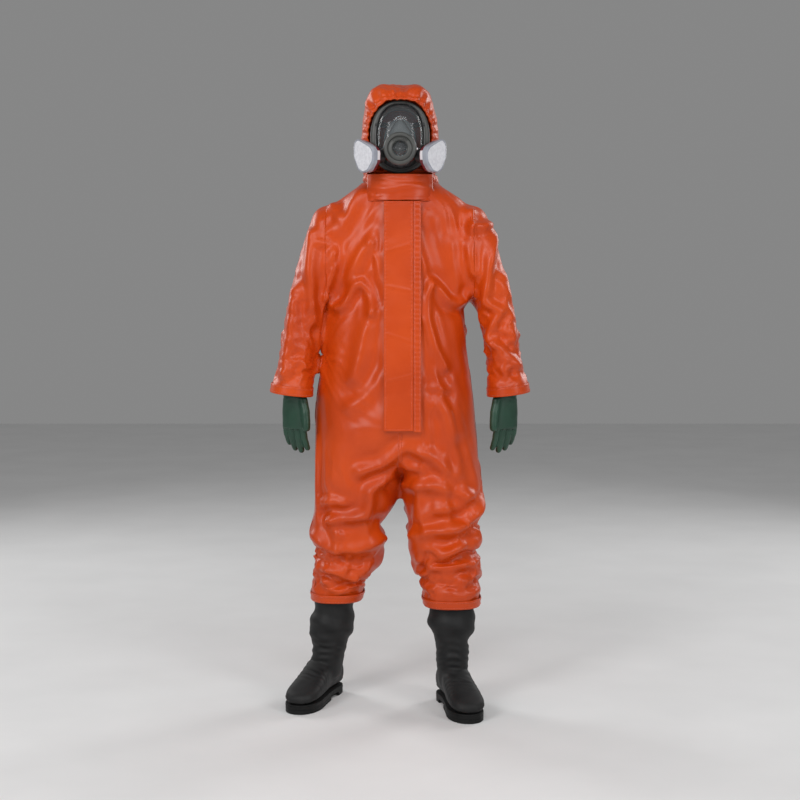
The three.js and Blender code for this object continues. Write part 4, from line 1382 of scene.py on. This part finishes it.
# ---------- boots ----------
SHAFT = {
    "right": [(352, 61, -62, 66), (300, 62, -62, 66), (268, 55, -57, 60), (215, 66, -66, 67),
              (168, 51, -56, 58),
              (118, 45, -52, 60), (62, 40, -46, 62)],
    "left": [(352, 61, -62, 66), (290, 61, -61, 64), (236, 69, -68, 68), (187, 47, -53, 56),
             (150, 47, -54, 59),
             (62, 40, -46, 62)],
}
FOOT = [(-84, 26, 80), (-66, 36, 104), (20, 40, 126), (80, 47, 98), (140, 50, 76), (180, 42, 62),
        (199, 22, 50)]
SOLE_THICK = 26


def bezier(a, b, c, d, steps=14):
    out = []
    for k in range(steps):
        t = k / steps
        out.append(a * (1 - t) ** 3 + b * 3 * t * (1 - t) ** 2 + c * 3 * t * t * (1 - t) + d * t**3)
    return out


def footprint(margin):
    """The sole's outline, the toe towards -Y."""
    m = margin
    v = [Vector(p).to_2d() for p in (
        (0, -88 - m, 0), (34 + m, -88 - m, 0), (40 + m, -62, 0), (38 + m, -30, 0), (34 + m, 10, 0),
        (42 + m, 60, 0),
        (52 + m, 118, 0), (56 + m, 160, 0), (40 + m, 204 + m, 0), (2, 205 + m, 0), (-34 - m, 204 + m, 0),
        (-50 - m, 168, 0), (-48 - m, 118, 0), (-40 - m, 60, 0), (-36 - m, 10, 0), (-38 - m, -30, 0),
        (-40 - m, -62, 0), (-34 - m, -88 - m, 0), (0, -88 - m, 0))]
    out = []
    for i in range(0, 18, 3):
        out += bezier(*v[i:i + 4])
    return [Vector((-p.x, -p.y, 0)) for p in out]


def cut_boxes(obj, boxes):
    for x0, x1, y0, y1, z0, z1 in boxes:
        cutter = block("cutter", [Vector((x, y, z)) * MM for z in (z0, z1) for x, y in
                                        ((x0, y0), (x1, y0), (x1, y1), (x0, y1))])
        modify(obj, "BOOLEAN", operation="DIFFERENCE", object=cutter, solver="EXACT")
        bpy.data.objects.remove(cutter)
    return obj


def make_boot(side, x, y, yaw, lean):
    def shaft_ring(section, grow=0.0):
        z, half, front, back = section
        return ring(Vector((lean * z, (front + back) / 2, z)) * MM, X, Y, (half + grow) * MM,
                    ((back - front) / 2 + grow) * MM, 2.1, 64)

    def foot_ring(section):
        forward, half, top = section
        return ring(Vector((0, -forward, (SOLE_THICK + top) / 2)) * MM, X, Z, half * MM,
                    ((top - SOLE_THICK) / 2 - 0.3) * MM, 2.6, 64)

    tall = [(352 + 6, 61, -62, 66)] + SHAFT[side]
    shaft = loft("shaft", spline([shaft_ring(s) for s in tall], 8))
    foot = loft("foot", spline([foot_ring(s) for s in FOOT], 8))
    upper = remeshed(joined("boot", [shaft, foot]), 0.0036, 14)
    co, no = coords(upper), normals(upper)
    lift = np.empty(len(co))
    for i, p in enumerate(co):
        v = Vector(p)
        mx, my, mz = v / MM
        slouch = peak(mz, 215, 62)
        tilt = math.sin((mz + 0.30 * mx + 0.25 * my) / 27 * math.pi + 0.6) * slouch
        front = float(smoothstep(20, -50, my))
        ankle = peak(mz, 150, 46)
        crease = math.sin((mz + 0.35 * my) / 10.5 * math.pi + 1.5 * math.sin(mx * 0.05) + 2.2
                          * noise.noise(v * 16))
        vamp = peak(mz, 92, 22) * peak(my, -92, 26)
        fold = math.sin((my + 0.25 * mx) / 9 * math.pi + 2 * noise.noise(v * 20))
        toe_cap = peak(my, 0.10 * abs(mx) - 138, 2.0) * (mz < 100)
        foxing = float(smoothstep(46, 43, mz))
        shin = peak(mz, 322, 1.6) + peak(mz, 334, 1.6)
        band = float(smoothstep(330, 333, mz))
        heel = float(smoothstep(62, 66, my)) * float(smoothstep(98, 92, mz)) * 0.5
        tendon = 0.0016 * peak(mx, lean * mz, 9) * float(smoothstep(30, 50, my)) * (mz > 90)
        soft = 0.0022 * noise.noise(v * 9) + 0.0007 * noise.noise(v * 34)
        lift[i] = (0.0017 * ankle * (0.35 + 0.65 * front) * crease + 0.0012 * vamp * fold - 0.0012 * toe_cap
                   + 0.0028 * tilt + 0.0016 * foxing + 0.0007 * shin + 0.0012 * band + 0.0012 * heel
                   + tendon + soft)
    set_coords(upper, co + no * lift[:, None])
    trim(upper, Vector((0, 0, 0.3515)), Z, lambda c: c.z > 0.2)
    modify(upper, "SOLIDIFY", thickness=0.0034, offset=-1)
    rim = ring(Vector(), X, Y, 60.6, 63.6, 2.1, 96)
    edge = bead("edge", [p + Vector((lean * 351, 2, 350.6)) for p in rim], [p.normalized() for p in rim],
                2.4, 1.9, 12)
    upper = joined(f"boot_rubber_{side}", [upper, edge])
    layers = [(0, -1.6), (1.6, 0), (9.5, 0.2), (10.6, -0.9), (12.4, -0.9), (13.4, 0.3), (20.5, 0.6),
              (21.6, -0.6),
              (22.8, -0.6), (23.8, 0.4), (25.6, -0.6)]
    sole = loft("sole", [[(p + Z * z) * MM for p in footprint(m)] for z, m in layers])
    cuts = [(-80, 80, -34, 28, -5, 11)] + [(-80, 80, at - 3, at + 3, -5, 4.6)
                                           for at in (-56, -76, -98, -126, -154, -178)]
    cuts += [(-80, 80, at - 2.4, at + 2.4, -5, 4.6) for at in (44, 60)]
    cut_boxes(sole, cuts)
    bevelled(sole, 0.0006, 2, 40)
    matrix = Matrix.Translation(Vector((x * MM, y * MM + SHIFT, 0))) @ Matrix.Rotation(yaw, 4, "Z")
    upper.data.transform(matrix)
    sole.data.transform(matrix)
    sole.name = f"boot_sole_rubber_{side}"
    place(upper, f"boot_{side}", "boot_rubber", "boot", f"boot_upper_{side}")
    place(sole, f"boot_{side}", "sole_rubber", "sole", f"boot_sole_{side}", flat_shade=True)
    refined(f"boot_insole_{side}", f"boot_{side}", "grey_rubber", "webbing", 0.001)


make_boot("right", -226, 50, math.radians(-20), 0.125)
make_boot("left", 155, -35, math.radians(13), -0.02)


# ---------- respirator ----------
FACE = Vector((0, -88, 1642)) * MM + Vector((0, SHIFT, 0))
DROP = -38


def rim_sweep(name, profile, power=2.3, sides=112, closed=True, drop=0.0):
    """A profile of (half width, half height, depth), in millimetres, swept round the visor's rim."""
    rings = [ring(FACE + Vector((0, y, z[0] if z else drop)) * MM, X, Z, w * MM, h * MM, power, sides)
             for w, h, y, *z in profile]
    if closed:
        rings.append(rings[0])
    made = loft(name, rings, caps=False)
    return made


def rounded(points, radius=0.6, steps=3):
    """Rounds the corners of a closed profile."""
    out = []
    n = len(points)
    for i in range(n):
        p = [np.array(points[(i + k - 1) % n], float) for k in range(3)]
        for t in np.linspace(0, 1, steps + 1):
            a = p[1] + (p[0] - p[1]) * min(0.45, radius / max(1e-6, np.linalg.norm(p[0] - p[1])))
            b = p[1] + (p[2] - p[1]) * min(0.45, radius / max(1e-6, np.linalg.norm(p[2] - p[1])))
            out.append(tuple(a * (1 - t) ** 2 + p[1] * 2 * t * (1 - t) + b * t * t))
    return out


def bar(centre, way, radius, long, sides=48):
    return lathe("bar", [(0, -long / 2), (radius, -long / 2), (radius, long / 2), (0, long / 2)], centre,
                 way, sides)


def cut_with(obj, *cutters):
    for cutter in cutters:
        modify(obj, "BOOLEAN", operation="DIFFERENCE", object=cutter, solver="EXACT")
        bpy.data.objects.remove(cutter)
    return obj


def opened(obj, *bars):
    """Leaves out the faces inside round bars, each given by its centre, direction and radius in millimetres."""
    def inside(place, centre, way, radius):
        away = place - centre
        return (away - way * away.dot(way)).length < radius * MM and away.length < 0.08

    with editing(obj) as bm:
        gone = [f for f in bm.faces if any(inside(f.calc_center_median(), *bar_now) for bar_now in bars)]
        bmesh.ops.delete(bm, geom=gone, context="FACES")
    return obj


def port_frame(sign):
    aim = Vector((0.766 * sign, -0.643, 0)).normalized()
    return FACE + Vector((54 * sign, -24, -58)) * MM, aim


def make_mask():
    valve = FACE + Vector((0, 0, DROP)) * MM
    ports = [(*port_frame(s), 19.4) for s in (-1, 1)]
    lens = loft("lens", spline([ring(FACE + Vector((0, y, 0)) * MM, X, Z, w * MM, h * MM, 2.3, 160) for y,
                                w, h in
                                ((-4, 66, 92), (-22, 63, 88), (-40, 53, 74), (-50, 38, 52), (-54.4, 19, 26),
                                 (-55.4, 3, 4))], 14), caps=False)
    opened(faces_out(lens), (valve + Y * -0.05, Y, 39), *ports)
    modify(lens, "SOLIDIFY", thickness=0.0022, offset=-1)
    lens.name = "lens_clear"
    place(lens, "mask", "clear", "clear", "mask_lens")

    rim = rim_sweep("lens_frame", rounded([(67.4, 93.4, -14), (70, 96, -12), (71, 97, -6), (71, 97, 3.8),
                                           (65.2, 91.2, 3.8),
                                           (65.2, 91.2, -3.0), (66.7, 92.7, -3.4)], 1.2))
    for x, z in ((66, 34), (-66, 34), (66, -36), (-66, -36)):
        at = FACE + Vector((x * 1.02, -3, z)) * MM
        lug = lathe("lug", [(0, -9), (4.4, -9), (5, -8), (5, 5.4), (4.4, 6), (0, 6)], at, Vector((0, 1, 0)),
                    24)
        rim = joined("lens_frame", [rim, lug])
    place(faces_out(rim), "mask", "dark_plastic", "dark", "mask_lens_frame")

    skin = [(70, 96, 4.6), (78, 100.5, 5.2), (84, 104, 9), (85, 104.6, 16), (83.6, 102.6, 25), (78, 97, 35),
            (70, 88.4, 44), (64, 82, 45.6), (61, 78, 44), (64, 82, 42.4), (68, 86, 41), (75.4, 94, 32),
            (80.6, 99.4, 24),
            (81.6, 101.4, 16), (80.6, 100.8, 10.4), (76, 98, 8), (69.4, 95.4, 7)]
    seal = rim_sweep("seal", skin)
    co = coords(seal)
    low = smoothstep(FACE.z - 0.07, FACE.z - 0.10, co[:, 2])
    co[:, 1] -= low * 0.004 * np.cos(np.clip((co[:, 0]) / 0.075, -1, 1) * math.pi / 2)
    set_coords(seal, co)
    seal.name = "face_seal_rubber"
    place(seal, "mask", "grey_rubber", "grey", "mask_face_seal")

    cup = loft("cup", spline([ring(FACE + Vector((0, y, z)) * MM, X, Z, w * MM, h * MM, 2.1, 96) for y, w,
                              h, z in
                              ((-46, 36.5, 36.5, DROP), (-38, 38.5, 46, -29), (-24, 41, 57, -21),
                               (-8, 43, 64, -18),
                               (10, 45, 67, -17), (22, 46, 68, -16))], 14), caps=False)
    faces_out(cup)
    co = coords(cup)
    co[:, 0] *= 1 - 0.40 * smoothstep(FACE.z - 0.015, FACE.z + 0.045, co[:, 2])
    set_coords(cup, co)
    opened(cup, *ports)
    modify(cup, "SOLIDIFY", thickness=0.0024, offset=-1)
    lip = loft("lip", spline([ring(FACE + Vector((0, y, -16)) * MM, X, Z, w * MM, h * MM, 2.1, 96) for y, w,
                              h in
                              ((21, 46, 68), (24, 44, 66), (25.5, 39, 61), (24.6, 36, 58))], 4), caps=False)
    modify(faces_out(lip), "SOLIDIFY", thickness=0.0018, offset=0)
    cup = joined("nose_cup_rubber", [cup, lip])
    place(cup, "mask", "grey_rubber", "cup", "mask_nose_cup")

    housing = lathe("valve_housing_body", rounded([(26, 44.4), (37, 44.4), (37, 57), (41, 58.4),
                                                   (46.4, 59.4), (47, 65),
                                                  (45, 69), (41, 71), (36.4, 71), (35, 69.6), (34.7, 62),
                                                  (26, 62)], 0.9),
                    valve, -Y, 120)
    for k in (-1, 1):
        at = valve + Vector((47.5 * k, -62, -1)) * MM
        clip = lathe("clip", [(0, -3), (2.6, -3), (3.2, -2.2), (3.2, 2.2), (2.6, 3), (0, 3)], at,
                     Vector((k, -1, 0)), 20)
        paint(clip, "label")
        housing.data.materials.clear()
        paint(housing, "grey")
        housing = joined("valve_housing_body", [housing, clip])
    place(housing, "mask", "grey_rubber", None, "valve_housing")

    cover = lathe("cover", rounded([(21.5, 63.6), (34, 64.4), (34, 69.4), (30, 71.6), (25.4, 72.6),
                                    (22.6, 71.6)], 0.7),
                  valve, -Y, 120)
    slots = []
    for k in range(9):
        a = math.radians(-40 + 10 * k)
        out = Vector((math.sin(a), 0, math.cos(a)))
        side = out.cross(Y)
        corners = [(u, w, d) for d in (-76, -58) for u, w in ((24.6, -0.8), (32.6, -1.35), (32.6, 1.35),
                                                              (24.6, 0.8))]
        slots.append(block("slot", [valve + (out * u + side * w + Y * d) * MM for u, w, d in corners]))
    cut_with(cover, *[faces_out(slot) for slot in slots])
    cover.name = "exhalation_cover"
    place(cover, "mask", "dark_plastic", "grey", "exhalation_valve_cover", flat_shade=True)

    seat = lathe("seat", rounded([(18.4, 57.4), (25.4, 57.4), (25.4, 61.6), (20.4, 61.6)], 0.6), valve, -Y,
                 96)
    parts = [seat]
    for k in range(8):
        a = math.pi * k / 8
        way = Vector((math.cos(a), 0, math.sin(a)))
        side = way.cross(Y)
        corners = [(u, w, d) for d in (-61.2, -59.2) for u,
                   w in ((-20, -0.75), (20, -0.75), (20, 0.75), (-20, 0.75))]
        parts.append(block("spoke", [valve + (way * u + side * w + Y * d) * MM for u, w, d in corners]))
    parts.append(lathe("hub", rounded([(0, 58.6), (5.4, 58.6), (5.4, 61.2), (4, 62.0), (0, 62.2)], 0.5),
                       valve, -Y, 32))
    for part in parts:
        paint(part, "grey")
    dot = lathe("dot", rounded([(0, 61.4), (2.0, 61.4), (2.0, 62.1), (0, 62.2)], 0.3), valve, -Y, 24)
    paint(dot, "label")
    seat = joined("exhalation_seat", [*parts, dot])
    place(seat, "mask", "dark_plastic", None, "exhalation_valve_seat", flat_shade=True)
    disc = lathe("exhalation_flap_disc", [(0, 62.25), (5, 62.3), (20.6, 62.2), (21, 62.5), (20.8, 63.1),
                                          (6, 63.0),
                                          (3.4, 63.2), (0, 63.2)], valve, -Y, 64)
    place(disc, "exhalation_flap", "clear", "clear", "exhalation_valve_flap")


PLATE = [(-47, 2), (-46, 40), (-30, 49), (30, 26), (42, 10), (40, -20), (18, -45), (-10, -49), (-30, -38)]


def plate(grow):
    """The cartridge's rounded outline, in millimetres: towards the valve, and up."""
    corners = [Vector((u + math.copysign(1, u) * grow, w + math.copysign(1, w) * grow)) for u, w in PLATE]
    out = []
    n = len(corners)
    for i, corner in enumerate(corners):
        enter = corner.lerp(corners[i - 1], 0.3)
        leave = corner.lerp(corners[(i + 1) % n], 0.3)
        for k in range(12):
            t = k / 12
            out.append(enter * (1 - t) ** 2 + corner * 2 * t * (1 - t) + leave * t * t)
        for k in range(4):
            t = k / 4
            out.append(leave.lerp(corners[(i + 1) % n].lerp(corner, 0.3), t))
    return out


def make_side(word):
    sign = 1 if word == "left" else -1
    origin, aim = port_frame(sign)
    inner = aim.cross(Z).normalized() * sign
    seat = 33

    def prism(name, layers, caps=True):
        return loft(name, [[origin + (inner * p.x + Z * p.y + aim * far) * MM for p in plate(grow)]
                           for grow, far in layers], caps=caps)

    body = prism("cartridge_body", [(-3.2, seat), (-2.2, seat + 0.8), (-2, seat + 2), (-2, seat + 7.6),
                                    (-2.7, seat + 8.2),
                                    (-2.7, seat + 9.0), (-2, seat + 9.6), (-2, seat + 19.2),
                                    (-2.8, seat + 19.9)])
    paint(body, "maroon")
    neck = lathe("neck", rounded([(22.7, seat - 6), (27, seat - 6), (27, seat + 1), (22.7, seat + 1)], 0.8),
                 origin, aim, 72)
    paint(neck, "maroon")
    outline = plate(-1.7)
    turn = [i for i, p in enumerate(outline) if p.x > 30 and -13 < p.y < 14]
    turn = sorted(turn, key=lambda i: outline[i].y)
    rings = [[origin + (inner * outline[i].x + Z * outline[i].y + aim * far) * MM for i in turn]
             for far in (seat + 3.0, seat + 13.4)]
    label = loft("label", rings, closed=False, caps=False)
    modify(label, "SOLIDIFY", thickness=0.0006, offset=0)
    paint(label, "label")
    body = joined(f"cartridge_shell_{word}", [body, neck, label])
    body.data.polygons.foreach_set("use_smooth", [False] * len(body.data.polygons))
    place(body, f"filter_{word}", "cartridge_maroon", None, f"cartridge_{word}", flat_shade=True)

    pad = prism("pad", [(-4.4, seat + 20.7), (-3, seat + 21.6), (-3, seat + 26.0), (-4.2, seat + 26.9)])
    pad.name = f"filter_pad_cloth_{word}"
    place(pad, f"retainer_{word}", "filter_white", "filter", f"filter_pad_{word}", flat_shade=True)
    ring_part = [(1, 14.0), (1, 25), (0.4, 28.4), (-1.6, 30.6), (-3.0, 31), (-3.7, 30.4), (-3.7, 28.6),
                 (-2.6, 28.4),
                 (-2.0, 27.4), (-1.4, 24), (-1.4, 14.0), (1, 14.0)]
    cap = prism("cap", [(g, seat + f) for g, f in ring_part], caps=False)
    front = prism("front", [(-3.8, seat + 28.3), (-3.8, seat + 29.6), (-4.4, seat + 30.2), (-9, seat + 30.5)])
    paint(front, "filter")
    ridges = []
    for grow in (-13, -20):
        ridges.append(prism("ridge", [(grow, seat + 30.4), (grow - 0.7, seat + 30.9),
                                      (grow - 1.8, seat + 30.9),
                                      (grow - 2.5, seat + 30.4)], caps=False))
        paint(ridges[-1], "filter")
    paint(cap, "shell")
    cap = joined(f"filter_retainer_shell_{word}", [faces_out(cap), front, *ridges])
    place(cap, f"retainer_{word}", "filter_white", None, f"filter_retainer_{word}", flat_shade=True)

    port = lathe("port", rounded([(13, -2), (18.6, -2), (18.6, 10), (17.9, 10.6), (17.9, 13), (18.6, 13.6),
                                  (18.6, seat - 4),
                                  (22, seat - 4), (22, seat - 1), (16, seat - 1), (16, 40), (13, 40)], 0.5),
                 origin, aim, 72)
    web = []
    across = aim.cross(Z).normalized()
    for way, side in ((across, Z), (Z, across)):
        corners = [(u, w, d) for d in (-1, 1.4) for u, w in ((-13.4, -1.4), (13.4, -1.4), (13.4, 1.4),
                                                             (-13.4, 1.4))]
        web.append(block("web", [origin + (way * u + side * w + aim * d) * MM for u, w, d in corners]))
    port = joined(f"inhalation_port_tube_{word}", [port, *web])
    place(port, "mask", "dark_plastic", "dark", f"inhalation_port_{word}", flat_shade=True)
    disc = lathe(f"inhalation_disc_{word}", [(0, -3), (11.4, -2.9), (11.8, -2.5), (11.4, -2.1), (0, -2)],
                 origin, aim, 48)
    place(disc, f"inhalation_flap_{word}", "clear", "clear", f"inhalation_valve_{word}")


UPPER = [(83, 32, 32), (78, 54, 37), (73, 92, 44), (56, 142, 46), (18, 168, 40)]
LOWER = [(82, 30, -34), (82, 56, -40), (77, 98, -40), (52, 146, -28), (18, 170, -8)]


def strap(path, sign, width=16.0, thick=2.0):
    points = [[Vector((sign * x, y, z))] for x, y, z in path]
    fine = [row[0] for row in spline(points, 16)]
    rings = []
    for i, p in enumerate(fine):
        way = way_at(fine, i)
        out = p - Vector((0, 80, 0))
        out = (out - way * out.dot(way)).normalized()
        across = way.cross(out)
        row = []
        for k in range(20):
            u, w = superellipse(2 * math.pi * k / 20, width / 2, thick / 2, 3.4)
            rib = 0.22 * (1 if k % 2 else -1) if abs(u) < width / 2 - 1 else 0
            row.append(FACE + (p + across * u + out * (w + rib)) * MM)
        rings.append(row)
    return loft("strap", rings)


def make_harness():
    straps = [strap(path, sign) for path in (UPPER, LOWER) for sign in (-1, 1)]
    rings = [ring(FACE + Vector((0, y, 16)) * MM, X, Z, w * MM, h * MM, 2.6, 72) for w, h, y in
             ((16, 30, 164.6), (22, 36, 164.4), (31, 45, 167), (33, 47, 170), (32.6, 46.6, 172.4),
              (28, 42, 175),
              (22, 36, 176), (10, 18, 174.6))]
    pad = loft("pad", spline(rings, 4))
    pad_holes = [bar(FACE + Vector((x, 170, z)) * MM, Y, 4.2, 40, 28) for x,
                 z in ((0, 16), (0, 34), (0, -2), (15, 16), (-15, 16))]
    cut_with(pad, *pad_holes)
    harness = joined("harness_straps", [*straps, pad])
    place(harness, "mask", "webbing", "webbing", "head_harness")
    for node in ("upper_buckle_left", "upper_buckle_right", "lower_buckle_left", "lower_buckle_right"):
        refined(node, "mask", "metal", "metal", 0.0009)


make_mask()
for word in ("left", "right"):
    make_side(word)
make_harness()


# ---------- hems ----------
def hem_band(name, rings, body, nodes):
    """A turned-up hem: a raised band with rows of stitches, in short puckers."""
    rings = spline(rings, 8)
    band = loft(name, rings, caps=False)
    faces_out(band)
    co, no = coords(band), normals(band)
    count = len(rings[0])
    lift = np.empty(len(co))
    for i, p in enumerate(co):
        r, k = divmod(i, count)
        t = r / (len(rings) - 1)
        edge = min(t, 1 - t)
        s = k / count * 2 * math.pi
        pucker = math.sin(s * 40 + 3 * noise.noise(Vector(p) * 20))
        raised = 0.0003 + 0.0007 * float(smoothstep(0, 0.12, edge))
        lift[i] = raised + 0.0004 * pucker * peak(edge, 0.2, 0.1) - 0.0007 * peak(edge, 0.2, 0.03)
    set_coords(band, co + no * lift[:, None])
    modify(band, "SOLIDIFY", thickness=0.0011, offset=-1)
    rows = []
    for t in (0.2, 0.8):
        r = round(t * (len(rings) - 1))
        path = [Vector(co[r * count + k % count]) + Vector(no[r * count + k % count]) * 0.0018
                for k in range(count + 1)]
        rows.append(stitches("thread", path, [Vector(no[r * count + k % count]) for k in range(count + 1)]))
    paint(band, "orange")
    thread = joined("thread", rows)
    paint(thread, "thread")
    band = joined(name, [band, thread])
    return place(band, body, "coated_fabric", None, *nodes)


def between(a, b, t):
    if isinstance(a, tuple):
        return tuple(between(p, q, t) for p, q in zip(a, b))
    return a + (b - a) * t


for word, leg in (("right", LEG_RIGHT), ("left", LEG_LEFT)):
    top = between(leg[-2], leg[-3], 24 / (leg[-3][0] - HEM))
    hem_band(f"trouser_hem_band_{word}", [level_ring(leg[-2], 2.5, 120), level_ring(top, 2.5, 120)], "suit",
             (f"trouser_hem_{word}",))
for word, side in (("right", -1), ("left", 1)):
    top = between(SLEEVE[-2], SLEEVE[-3], 0.36)
    hem_band(f"sleeve_hem_band_{word}", [sleeve_ring(SLEEVE[-2], side, 0, 2.2, 110),
                                         sleeve_ring(top, side, 0, 2.2, 110)],
             f"arm_{word}", (f"sleeve_hem_{word}",))
